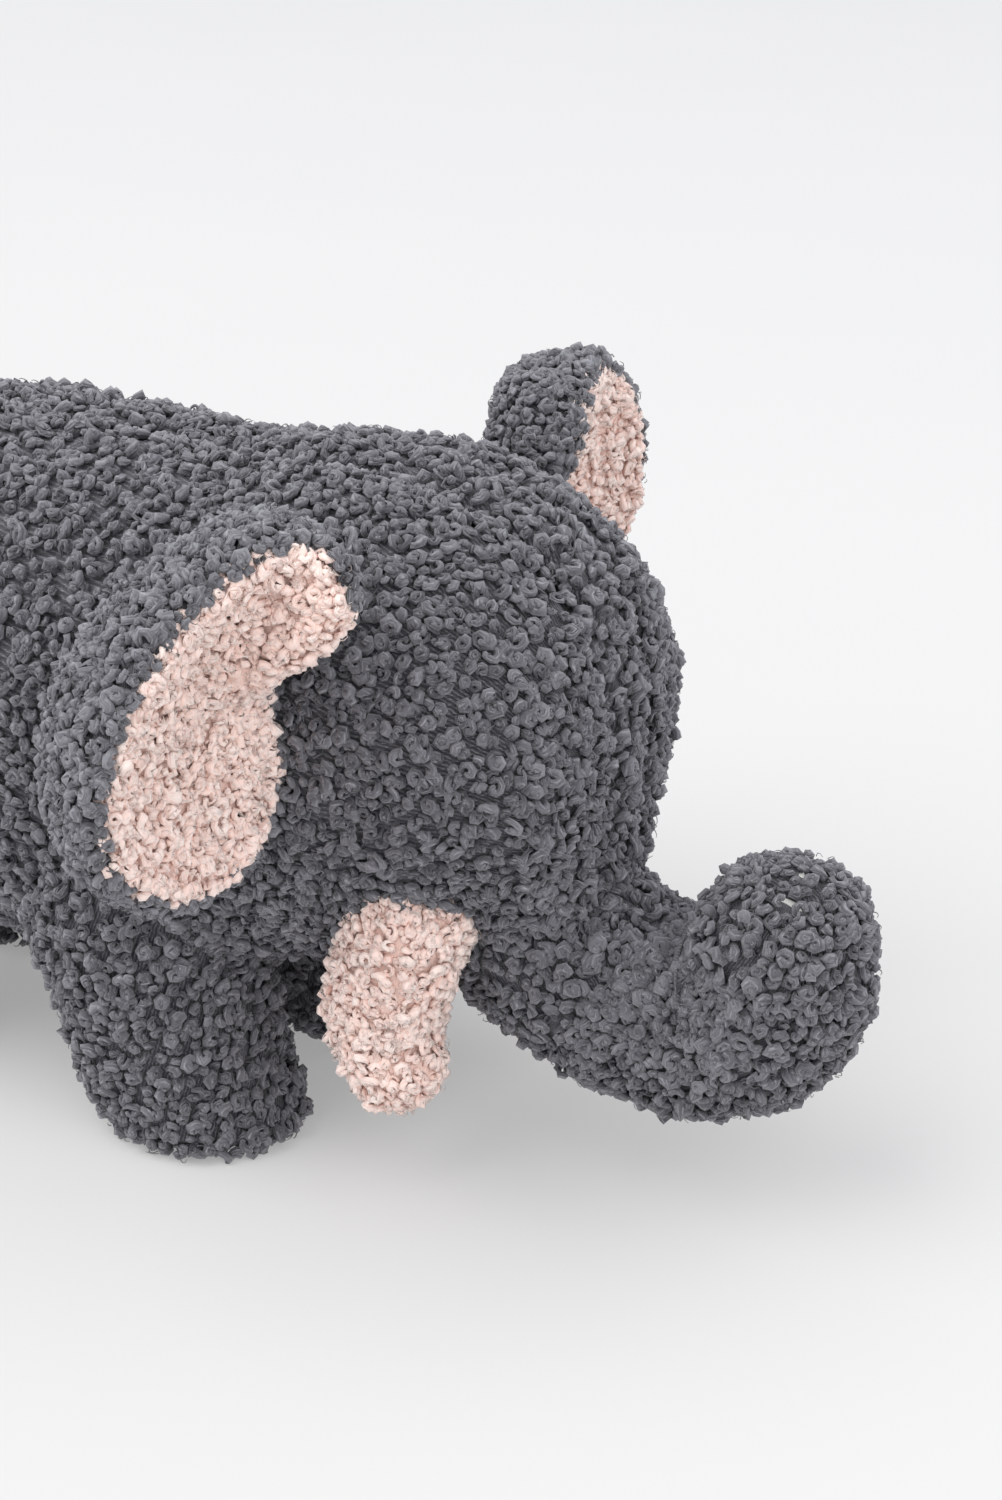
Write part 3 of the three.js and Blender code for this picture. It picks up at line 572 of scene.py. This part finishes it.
# Collects vertices, quads and their attributes, then makes one mesh object.
class Sheaf:
    def __init__(self):
        self.points, self.quads, self.rise = [], [], []
        self.tone, self.cells, self.strand = [], [], []
        self.count, self.cell = 0, 0

    def addTubes(self, points, rise, tone):
        n, steps, around = points.shape[:3]
        base = np.arange(n)[:, None, None] * steps * around
        i, j = np.meshgrid(np.arange(steps - 1), np.arange(around), indexing="ij")
        nextJ = (j + 1) % around
        low, high = i * around, (i + 1) * around
        wall = np.stack([low + j, low + nextJ, high + nextJ, high + j], -1).reshape(-1, 4)
        last = (steps - 1) * around
        ends = [[k + 2, k + 1, k, 0] for k in range(1, around - 2, 2)]
        ends = np.array(ends + [[last + k for k in end[::-1]] for end in ends])
        local = np.vstack([wall, ends])
        u0, v0 = i.ravel() / (steps - 1), j.ravel() / around
        du, dv = 1 / (steps - 1), 1 / around
        wallUv = np.stack([np.stack([u0, v0], -1), np.stack([u0, v0 + dv], -1),
                           np.stack([u0 + du, v0 + dv], -1), np.stack([u0 + du, v0], -1)], 1)
        endUv = np.zeros((len(ends), 4, 2))
        for k in range(len(ends)):
            u, v = 1.02 + 0.08 * (k // 2), 0.55 * (k % 2)
            endUv[k] = [[u, v], [u, v + 0.4], [u + 0.06, v + 0.4], [u + 0.06, v]]
        localUv = np.vstack([wallUv, endUv])
        self.quads.append((base + local[None]).reshape(-1, 4) + self.count)
        self.points.append(points.reshape(-1, 3))
        self.rise.append(rise.reshape(-1))
        self.tone.append(tone.reshape(-1))
        self.strand.append(np.tile(localUv, (n, 1, 1)))
        cell = np.repeat(np.arange(n) + self.cell, len(local))
        inCell = np.tile(localUv / [1.2, 1.02], (n, 1, 1))
        self.cells.append((cell, inCell))
        self.count += n * steps * around
        self.cell += n

    # A closed slab between two grids; its bake cells are strips of faces. With its low rise the yarn material
    # paints it with the painted shade between the curls.
    def addPlate(self, outer, inner, closed, tone=0.4, rise=0.25):
        rows, cols = outer.shape[:2]
        span = cols if closed else cols - 1
        i, j = np.meshgrid(np.arange(rows - 1), np.arange(span), indexing="ij")
        i, j = i.ravel(), j.ravel()
        k = (j + 1) % cols
        far = rows * cols
        quads = [np.stack([i * cols + j, (i + 1) * cols + j, (i + 1) * cols + k, i * cols + k], -1)]
        quads.append(quads[0][:, ::-1] + far)
        j, k = np.arange(span), (np.arange(span) + 1) % cols
        end = (rows - 1) * cols
        quads.append(np.stack([j, k, k + far, j + far], -1))
        quads.append(np.stack([end + k, end + j, end + j + far, end + k + far], -1))
        if not closed:
            i = np.arange(rows - 1)
            edge = cols - 1
            quads.append(np.stack([(i + 1) * cols, i * cols, i * cols + far, (i + 1) * cols + far], -1))
            quads.append(np.stack([i * cols + edge, (i + 1) * cols + edge, (i + 1) * cols + edge + far,
                                   i * cols + edge + far], -1))
        quads = np.vstack(quads)
        self.quads.append(quads + self.count)
        self.points.append(np.vstack([outer.reshape(-1, 3), inner.reshape(-1, 3)]))
        self.rise.append(np.full(2 * far, rise))
        self.tone.append(np.full(2 * far, tone))
        corner = np.array([[0, 0], [1, 0], [1, 1], [0, 1]], float)
        uv = np.tile(corner, (len(quads), 1, 1))
        self.strand.append(uv * 0.4)
        self.cells.append((np.arange(len(quads)) + self.cell, uv))
        self.count += 2 * far
        self.cell += len(quads)

    def build(self, name, material):
        points = np.vstack(self.points) * unit
        quads = np.vstack(self.quads)
        me = bpy.data.meshes.new(name)
        me.vertices.add(len(points))
        me.vertices.foreach_set("co", points.astype(np.float32).ravel())
        me.loops.add(quads.size)
        me.loops.foreach_set("vertex_index", quads.astype(np.int32).ravel())
        me.polygons.add(len(quads))
        me.polygons.foreach_set("loop_start", np.arange(0, quads.size, 4, dtype=np.int32))
        me.polygons.foreach_set("use_smooth", np.ones(len(quads), bool))
        for label, parts in (("rise", self.rise), ("tone", self.tone)):
            layer = me.attributes.new(label, "FLOAT", "POINT")
            layer.data.foreach_set("value", np.concatenate(parts).astype(np.float32))
        strand = me.uv_layers.new(name="strand")
        strand.data.foreach_set("uv", np.vstack(self.strand).reshape(-1).astype(np.float32))
        across = int(np.ceil(np.sqrt(self.cell)))
        cell = np.concatenate([c for c, _ in self.cells])
        inside = np.vstack([uv for _, uv in self.cells])
        corner = np.stack([cell % across, cell // across], -1)[:, None]
        atlas = (corner + 0.08 + 0.84 * np.clip(inside, 0, 1)) / across
        bake = me.uv_layers.new(name="OFBake")
        bake.data.foreach_set("uv", atlas.reshape(-1).astype(np.float32))
        me.update()
        me.validate(clean_customdata=False)
        me.materials.append(material)
        ob = bpy.data.objects.new(name, me)
        bpy.context.scene.collection.objects.link(ob)
        return ob


pieces = []
seamWidth = 3.4


# Backing cloth and curls for one panel. grids is a list of (grid, closed, seam depth), in millimetres.
def furPiece(name, grids, colour, nodes, skip, body=None, bend=None, seed=0, cull=2.2, wisps=0.025,
             hairs=0.5, lift=0.0):
    spec = curlSpec[colour]
    rng = np.random.default_rng(spec["seed"] + seed)
    sheaf = Sheaf()
    total = 0
    for g, closed, seam in grids:
        g = softened(g, closed, skip)
        n = gridNormals(g, closed)
        if seam and not closed:
            arc = np.linalg.norm(np.diff(g, axis=1), axis=-1)
            left = np.concatenate([np.zeros((len(g), 1)), np.cumsum(arc, 1)], 1)
            near = np.minimum(left, left[:, -1:] - left)
            g = g - n * (seam * np.exp(-(near / seamWidth) ** 2))[..., None]
        n = gridNormals(g, closed)
        sheaf.addPlate(g - n * spec["plate"], g - n * (spec["plate"] + 2), closed)
        u, v = scatter(g, closed, spec["spacing"] * (1.0), rng)
        place, normal = bilinear(g, u, v, closed), unitOf(bilinear(n, u, v, closed))
        along = unitOf(bilinear(np.gradient(g, axis=0), u, v, closed))
        keep = np.ones(len(place), bool)
        for _, distance, _ in neighbours(skip):
            keep &= distance(place) > -cull
        place, normal, along = place[keep], normal[keep], along[keep]
        points, rise, tone = curlTubes(place, normal, along, spec, rng)
        # lift raises every curl's tone: painted light that makes a panel lighter.
        sheaf.addTubes(points, rise, tone + lift)
        loose = rng.random(len(place)) < wisps
        sheaf.addTubes(*wispTubes(place[loose], normal[loose], along[loose], rng))
        if hairs:
            pick = rng.integers(0, len(place), int(len(place) * hairs))
            jitter = rng.uniform(-1.6, 1.6, (len(pick), 2))
            beside = np.cross(normal[pick], along[pick])
            spot = place[pick] + jitter[:, :1] * along[pick] + jitter[:, 1:] * beside
            sheaf.addTubes(*hairTubes(spot, normal[pick], along[pick], spec, rng))
        total += len(place)
    ob = sheaf.build(name, yarn[colour])
    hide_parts(*nodes)
    if bend:
        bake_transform(ob)
    else:
        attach(ob, body)
    pieces.append(ob)
    print(f"{name}: {total} curls, {len(ob.data.polygons)} faces")
    return ob


# A lumpy closed mass of filling inside a cover.
def fillPiece(name, g, closed, node, body, bend=None):
    n = gridNormals(g, closed)
    g = g + n * (waves(g, 17, 3) * 0.5)[..., None]
    sheaf = Sheaf()
    low, high = g[:1].mean(1, keepdims=True), g[-1:].mean(1, keepdims=True)
    rows = np.linspace(0, 1, len(g))[:, None, None]
    core = low * (1 - rows) + high * rows
    sheaf.addPlate(g, core + (g - core) * 0.08, closed)
    ob = sheaf.build(name, fibre)
    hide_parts(node)
    if bend:
        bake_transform(ob)
    else:
        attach(ob, body)
    pieces.append(ob)
    return ob


# A half width that changes in straight lines from place to place along the body.
def taper(y, rows):
    rows = np.array(rows, float)
    return np.interp(y, rows[:, 0], rows[:, 1])


# One flank of the body, from the head gusset's edge round to the belly's: rows crowd towards the two
# ends by a cosine, and each row is a stretch of an oval. With whole it is the oval all the way round.
def bodySide(sign, rowCount, columnCount, inset=0.0, whole=False):
    share = np.linspace(0.0, 1.0, rowCount)
    start = 0.62
    t = start + (len(bodySpec["rows"]) - 1.03 - start) * (1 - np.cos(np.pi * share)) / 2
    y, middle, high, wide = bodyRing(t)
    full, thin = bodySpec["headGusset"], 0.2
    topHalf = taper(y, [[bodySpec["gussetFull"], full], [bodySpec["gussetEnd"], thin]])
    lowHalf = taper(y, [[-100, full]] + bodySpec["bellyRows"] + [[160, thin]])
    first = np.arcsin(np.clip(topHalf / wide, 0, 0.97))
    last = np.pi - np.arcsin(np.clip(lowHalf / wide, 0, 0.97))
    if whole:
        first, last = 0 * first, 0 * last + fullTurn * (1 - 1 / columnCount)
    a = first[:, None] + (last - first)[:, None] * np.linspace(0, 1, columnCount)[None]
    wide, high = np.maximum(wide - inset, 0.5), np.maximum(high - inset, 0.5)
    y = bodyMiddle + (y - bodyMiddle) * (1 - inset / bodyHalfLength)
    x = sign * wide[:, None] * np.sin(a)
    z = middle[:, None] + high[:, None] * np.cos(a)
    g = np.stack([x, np.broadcast_to((y + shiftY)[:, None], x.shape), z], -1)
    return facing(g, whole, np.stack([0 * y, y + shiftY, middle], -1)[:, None])


# A strip along a profile in the middle plane, rounded across by bendRadius; core is inside the toy.
def stripGrid(profile, core, halfWidth, bendRadius, columnCount):
    along = unitOf(np.gradient(profile, axis=0))
    outward = np.stack([np.zeros(len(profile)), along[:, 2], -along[:, 1]], -1)
    outward *= np.sign(((profile - core) * outward).sum(-1, keepdims=True) + 1e-9)
    w = np.linspace(-1, 1, columnCount)[None] * halfWidth[:, None]
    drop = bendRadius[:, None] - np.sqrt(np.maximum(bendRadius[:, None] ** 2 - w**2, 0))
    g = profile[:, None] - outward[:, None] * drop[..., None]
    g[..., 0] += w
    return facing(g, False, g - outward[:, None])


# A line of points spread again at equal steps along its length.
def resample(profile, count):
    arc = np.concatenate([[0], np.cumsum(np.linalg.norm(np.diff(profile, axis=0), axis=1))])
    at = np.linspace(0, arc[-1], count)
    return np.stack([np.interp(at, arc, profile[:, k]) for k in range(3)], -1)


for side, sign in sides.items():
    g = bodySide(sign, 110, 64)
    furPiece(f"body{side.title()}Panel", [(g, False, bodySpec["seam"])], "grey", [f"body_{side}_panel"],
             {"body"}, body="body", seed=sign + 2)

t = np.linspace(0, 12, 700)
y, middle, high, wide = bodyRing(t)
crown = np.stack([0 * y, y + shiftY, middle + high], -1)
under = np.stack([0 * y, y + shiftY, middle - high], -1)
stripRows, chin = 90, -86
roundness = np.full(stripRows, bodySpec["acrossBend"])
face = np.vstack([crown[y < bodySpec["gussetEnd"]][::-1], under[y < chin][1:]])
face = resample(face, stripRows)
halfWidth = np.minimum(bodySpec["headGusset"], np.linspace(0.6, 70, stripRows))
g = stripGrid(face, np.array([0, shiftY - 50, 125]), halfWidth, roundness, 12)
furPiece("headGusset", [(g, False, bodySpec["seam"])], "grey", ["head_gusset"], {"body"}, body="body", seed=5)
bellyStart, bellyEnd = bodySpec["bellyRows"][0][0], bodySpec["bellyRows"][-1][0]
chest = resample(under[(y > bellyStart) & (y < bellyEnd)], stripRows)
halfWidth = taper(chest[:, 1] - shiftY, bodySpec["bellyRows"])
g = stripGrid(chest, chest + [0, 0, 60], halfWidth, roundness, 14)
furPiece("bellyGusset", [(g, False, 1.5)], "grey", ["belly_gusset"], {"body"}, body="body", seed=6)
g = bodySide(-1, 60, 48, inset=8, whole=True)
fillPiece("bodyFill", g, True, "body_fill", "body")


# A panel of a leg between two turns round it: dome rows first, then the leaning cone's.
def legGrid(place, sign, first, last, rowCount, columnCount, inset=0.0, closed=False):
    hip, lean = legPlace(place, sign)
    domeTop = 0.93 * np.pi / 2
    tilt = np.linspace(domeTop, 0, rowCount // 3)
    straight = np.linspace(hip[2], legSpec["soleThick"] + 0.5, rowCount - rowCount // 3 + 1)[1:]
    level = np.concatenate([hip[2] + (legSpec["hipRadius"] - inset) * np.sin(tilt), straight])
    below = np.maximum(hip[2] - level, 0)
    radius = legSpec["hipRadius"] - (legSpec["hipRadius"] - legSpec["ankleRadius"]) * below / hip[2] - inset
    radius[: rowCount // 3] = (legSpec["hipRadius"] - inset) * np.cos(tilt)
    a = np.linspace(first, last, columnCount, endpoint=not closed)[None]
    x = hip[0] + radius[:, None] * np.sin(a)
    y = hip[1] - lean * below[:, None] - radius[:, None] * np.cos(a)
    g = np.stack([x, y, np.broadcast_to(level[:, None], x.shape)], -1)
    return facing(g, closed, np.stack([hip[0] + 0 * level, hip[1] - lean * below, level - 4], -1)[:, None])


# From the middle of the underside out to the rim and up its side.
def soleGrid(place, sign, rowCount, columnCount):
    hip, lean = legPlace(place, sign)
    r = legSpec["sole"]
    share = np.linspace(0, 1, rowCount)
    turn = np.clip((share - 0.65) / 0.35, 0, 1) * np.pi * 0.7
    reach = np.where(share < 0.65, 0.6 + (r - 2.8) * share / 0.65, r - 2.2 + 3.4 * np.sin(turn))
    level = 5.2 - 3.0 * np.cos(turn)
    a = np.linspace(0, 2 * np.pi, columnCount, endpoint=False)[None]
    x = hip[0] + reach[:, None] * np.cos(a)
    y = hip[1] - lean * hip[2] + reach[:, None] * np.sin(a)
    g = np.stack([x, y, np.broadcast_to(level[:, None], x.shape)], -1)
    return facing(g, True, np.array([hip[0], hip[1] - lean * hip[2], 5]))


for place in ("front", "rear"):
    for side, sign in sides.items():
        body = f"{place}_{side}_leg"
        label = f"{place}{side.title()}Leg"
        skip = {f"{place}{side}"}
        for panel, first, last in (("outer", 0.01, np.pi - 0.01), ("inner", -0.01, -np.pi + 0.01)):
            g = legGrid(place, sign, sign * first, sign * last, 46, 44)
            furPiece(f"{label}{panel.title()}Panel", [(g, False, 1.0)], "grey", [f"{body}_{panel}_panel"],
                     skip, body=body, seed=31 + sign)
        g = soleGrid(place, sign, 22, 48)
        furPiece(f"{label}Sole", [(g, True, 0)], "grey", [f"{body}_sole"], skip, body=body, seed=41 + sign)
        fillPiece(f"{label}Fill", legGrid(place, sign, 0, 2 * np.pi, 24, 28, inset=8, closed=True), True,
                  f"{body}_fill", body)


# Centres, tangents and radii of rings along a tube, with a dome past its end or its start if asked.
def tubeRings(rows, radii, first, last, count, domeEnd, domeStart=False):
    t = np.linspace(first, last, count)
    centre = smoothRows(rows, t)
    radius = smoothRows(np.asarray(radii, float)[:, None], t)[:, 0]
    ahead = unitOf(smoothRows(rows, t + 0.01) - smoothRows(rows, t - 0.01))
    if domeEnd:
        tilt = np.linspace(0, 0.47 * np.pi, max(count // 3, 6))[1:]
        centre = np.vstack([centre, centre[-1] + ahead[-1] * radius[-1] * np.sin(tilt)[:, None]])
        ahead = np.vstack([ahead, np.repeat(ahead[-1:], len(tilt), 0)])
        radius = np.concatenate([radius, radius[-1] * np.cos(tilt)])
    if domeStart:
        tilt = np.linspace(0.47 * np.pi, 0, max(count // 3, 6))[:-1]
        centre = np.vstack([centre[0] - ahead[0] * radius[0] * np.sin(tilt)[:, None], centre])
        ahead = np.vstack([np.repeat(ahead[:1], len(tilt), 0), ahead])
        radius = np.concatenate([radius[0] * np.cos(tilt), radius])
    return centre, ahead, radius


# Angles run from the top of the tube; first and last may differ from ring to ring.
def ringGrid(rings, first, last, columnCount, closed=False, inset=0.0):
    centre, ahead, radius = rings
    across = np.array([1.0, 0, 0]) - ahead * ahead[:, :1]
    across = unitOf(across)
    top = np.cross(ahead, across)
    top = top * np.sign(top[0, 2])
    radius = np.maximum(radius - inset, 0.4)
    first = np.broadcast_to(first, radius.shape)
    last = np.broadcast_to(last, radius.shape)
    share = np.linspace(0, 1, columnCount, endpoint=not closed)[None]
    a = first[:, None] + (last - first)[:, None] * share
    g = (centre[:, None] + radius[:, None, None] * (np.sin(a)[..., None] * across[:, None]
         + np.cos(a)[..., None] * top[:, None]))
    return facing(g, closed, centre[:, None])


half = trunkSpec["gusset"]
bendAt = trunkSpec["bend"]
trunkBends = {
    "base": ("body", "trunk_base", pivot["trunk_lift"] + [0, 16, 13], pivot["trunk_lift"] + [0, -16, -12]),
    "tip": ("trunk_base", "trunk_tip", pivot["trunk_curl"] + [0, 15, 0], pivot["trunk_curl"] + [0, -15, 2]),
}
spans = {"base": (0.0, bendAt - 0.3, False), "tip": (bendAt - 0.6, len(trunkPath) - 1.0, True)}
for part, (first, last, dome) in spans.items():
    a, b, start, end = trunkBends[part]
    bend = (a, b, Vector(start * unit), Vector(end * unit))
    rings = tubeRings(trunkPath, trunkRadii, first, last, 46, dome)
    wideAngle = np.arcsin(np.clip(half / rings[2], 0, 1))
    topAngle = wideAngle if part == "base" else 0 * wideAngle + 0.01
    keep = rings[2] > half * 1.02
    for side, sign in sides.items():
        kept = tuple(r[keep] for r in rings)
        g = ringGrid(kept, (sign * topAngle)[keep], (sign * (np.pi - wideAngle))[keep], 34)
        furPiece(f"trunk{part.title()}{side.title()}Panel", [(g, False, trunkSpec["seam"])], "grey",
                 [f"trunk_{part}_{side}_panel"], {"trunk"}, bend=bend, seed=61 + sign)
    centre, ahead, radius = rings
    down = np.stack([0 * radius, ahead[:, 2], -ahead[:, 1]], -1)
    down = down * -np.sign(down[0, 2])
    low, core = centre + down * radius[:, None], centre
    if dome:
        low = np.vstack([low, (centre - down * radius[:, None])[::-1][:9]])
        core = np.vstack([centre, centre[::-1][:9]])
    low, core = resample(low, 60), resample(core, 60)
    grid = stripGrid(low, core, np.full(60, float(half)), np.full(60, radius.max()), 10)
    furPiece(f"trunk{part.title()}UnderGusset", [(grid, False, trunkSpec["seam"])], "grey",
             [f"trunk_{part}_under_gusset"], {"trunk"}, bend=bend, seed=65)
    if part == "base":
        high, core = resample(centre - down * radius[:, None], 46), resample(centre, 46)
        grid = stripGrid(high, core, np.full(46, float(half)), np.full(46, radius.max()), 10)
        furPiece("trunkBaseTopGusset", [(grid, False, trunkSpec["seam"])], "grey", ["trunk_base_top_gusset"],
                 {"trunk"}, bend=bend, seed=66)
    g = ringGrid(rings, 0.0, 2 * np.pi, 28, closed=True, inset=8)
    fillPiece(f"trunk{part.title()}Fill", g, True, f"trunk_{part}_fill", None, bend=bend)

for side, sign in sides.items():
    rings = tubeRings(tuskPath(sign), tuskSpec["radii"], 0.0, 2.0, 30, True, True)
    g = ringGrid(rings, 0.0, 2 * np.pi, 40, closed=True)
    furPiece(f"{side}TuskCover", [(g, True, 0)], "pink", [f"{side}_tusk_cover"], {f"tusk{side}"},
             body=f"{side}_tusk", seed=71 + sign, wisps=0.04)
    g = ringGrid(rings, 0.0, 2 * np.pi, 20, closed=True, inset=6)
    fillPiece(f"{side}TuskFill", g, True, f"{side}_tusk_fill", f"{side}_tusk")

rings = tubeRings(tailPath, tailRadii, 0.0, 4.0, 26, True)
g = ringGrid(rings, 0.0, 2 * np.pi, 24, closed=True)
furPiece("tailCover", [(g, True, 0)], "grey", ["tail_cover"], {"tail"}, body="tail", seed=81)
g = ringGrid(rings, 0.0, 2 * np.pi, 14, closed=True, inset=4.5)
fillPiece("tailFill", g, True, "tail_fill", "tail")


earSpec = {
    "backward": 25,
    "back": {"depth": -5.2, "centre": [27, 8, 0], "wallTurn": 2.4, "wallRise": 3.0, "lip": 5.0,
             "spread": 2.5},
    "front": {"depth": 5.5, "centre": [14, 14, 2], "wallTurn": 1.0, "wallRise": 1.25, "lip": 2.6,
              "spread": 2.5},
    "crease": {"from": [0, 31], "to": [44, 2], "height": 9, "soft": 3.5, "fade": 24},
    "middle": [27, 8, 25],
    "rims": {
        "right": [
            [60, 9, 31], [57, 20, 32], [51, 31, 31], [41, 42, 29], [27, 50, 26], [13, 56, 26],
            [3, 57, 30], [-2, 52, 36], [-2, 43, 36], [2, 33, 22], [3, 18, 5], [2, 0, 0],
            [3, -15, 2], [11, -26, 8], [24, -30, 13], [40, -26, 19], [52, -16, 24], [59, -4, 28],
        ],
        "left": [
            [52, 8, 35], [52, 22, 35], [47, 37, 32], [40, 45, 27], [28, 48, 22], [17, 48, 20],
            [7, 45, 20], [1, 38, 19], [2, 26, 13], [3, 14, 6], [2, 0, 2],
            [3, -15, 2], [11, -26, 8], [24, -30, 13], [38, -26, 19], [48, -16, 24], [51, -4, 31],
        ],
    },
}


# One side of a cupped disc, carried round its edge: a star of lines from the hollow out to the rim.
# Position out along a line is 1 - (1 - share)^wallTurn, and height is share^wallRise.
# The lining also steps up across a crease that fans out from the root's upper corner.
def earGrid(side, layer, rowCount, columnCount):
    sign, spec = sides[side], earSpec[layer]
    away = np.radians(earSpec["backward"])
    outwards = np.array([sign * np.cos(away), np.sin(away), 0])
    forwards = np.array([sign * np.sin(away), -np.cos(away), 0])
    turn = np.linspace(0, 1, columnCount, endpoint=False)[None]
    share = np.linspace(0.03, 1, rowCount)[:, None]
    rim = closedRows(earSpec["rims"][side], turn[0])[None]
    rim = rim + unitOf(rim - earSpec["middle"]) * [spec["spread"], spec["spread"], 0]
    centre = np.array(spec["centre"], float)
    out = (1 - (1 - share) ** spec["wallTurn"])[..., None]
    rise = (share ** spec["wallRise"])[..., None]
    flat = centre[:2] + (rim[..., :2] - centre[:2]) * out
    curl = centre[2] + (rim[..., 2:] - centre[2]) * rise
    if layer == "front" and side == "right":
        crease = earSpec["crease"]
        start, end = np.array(crease["from"], float), np.array(crease["to"], float)
        way = (end - start) / np.linalg.norm(end - start)
        off = (flat - start) @ np.array([-way[1], way[0]])
        along = np.clip((flat - start) @ way / np.linalg.norm(end - start), 0, 1)
        step = (0.5 + 0.5 * np.tanh(off / crease["soft"])) * np.exp(-np.maximum(off, 0) / crease["fade"])
        curl = curl + (crease["height"] * step * (1 - along) ** 1.5 * (1 - share**6))[..., None]
    root = pivot[f"{side}_ear_fold"]
    cup = root + flat[..., :1] * outwards + flat[..., 1:] * np.array([0, 0, 1.0]) + curl * forwards
    cup = facing(cup, True, cup.mean((0, 1)) - forwards * 400)
    n = gridNormals(cup, True)
    outThere = unitOf(cup[-1] - cup[-3])
    n[-3:] = n[-4]
    depth = spec["depth"]
    a = np.linspace(0, 0.5 * np.pi, 8)[1:, None, None]
    lip = cup[-1] + outThere * np.sin(a) * spec["lip"] + n[-1] * depth * np.cos(a)
    g = np.concatenate([cup + n * depth, lip])
    return facing(g, True, g.mean((0, 1)) - forwards * np.sign(depth) * 400)


for side, sign in sides.items():
    skip = {"trunk"}
    # The ear backs are lifted in tone, a painted light that sets them apart from the body behind.
    furPiece(f"{side}EarBack", [(earGrid(side, "back", 44, 90), True, 0)], "grey", [f"{side}_ear_back"],
             skip, body=f"{side}_ear", seed=91 + sign, wisps=0.05, hairs=0.8, lift=0.35)
    furPiece(f"{side}EarFront", [(earGrid(side, "front", 44, 90), True, 0)], "pink", [f"{side}_ear_front"],
             skip, body=f"{side}_ear", seed=95 + sign, wisps=0.04)
print("all soft pieces built:", sum(len(ob.data.polygons) for ob in pieces), "faces")


def plane(name, size, z, material):
    me = bpy.data.meshes.new(name)
    s = size / 2
    me.from_pydata([(-s, -s, z), (s, -s, z), (s, s, z), (-s, s, z)], [], [(0, 1, 2, 3)])
    me.materials.append(material)
    ob = bpy.data.objects.new(name, me)
    bpy.context.scene.collection.objects.link(ob)
    return ob


plane("floor", 12, 0.0, floorMaterial())


def areaLight(name, place, target, size, power, colour):
    data = bpy.data.lights.new(name, "AREA")
    data.shape = "DISK"
    data.size = size
    data.energy = power
    data.color = colour
    ob = bpy.data.objects.new(name, data)
    bpy.context.scene.collection.objects.link(ob)
    ob.location = place
    ob.rotation_euler = (Vector(target) - Vector(place)).to_track_quat("-Z", "Y").to_euler()


areaLight("windowLight", (-1.5, 1.2, 3.0), (0, 0, 0.1), 3.6, 82, (1.0, 0.99, 0.97))
areaLight("frontLight", (-1.5, -2.0, 1.8), (0, 0, 0.1), 2.2, 20, (1.0, 0.99, 0.98))
areaLight("backLight", (1.6, -1.6, 2.2), (0, 0, 0.1), 2.4, 12, (0.96, 0.97, 1.0))
world = bpy.data.worlds.new("studio")
world.use_nodes = True
world.node_tree.nodes["Background"].inputs["Color"].default_value = rgb(0.93, 0.96, 1.0)
world.node_tree.nodes["Background"].inputs["Strength"].default_value = 0.86
bpy.context.scene.world = world
bpy.context.scene.view_settings.view_transform = "Standard"

print("stage set")
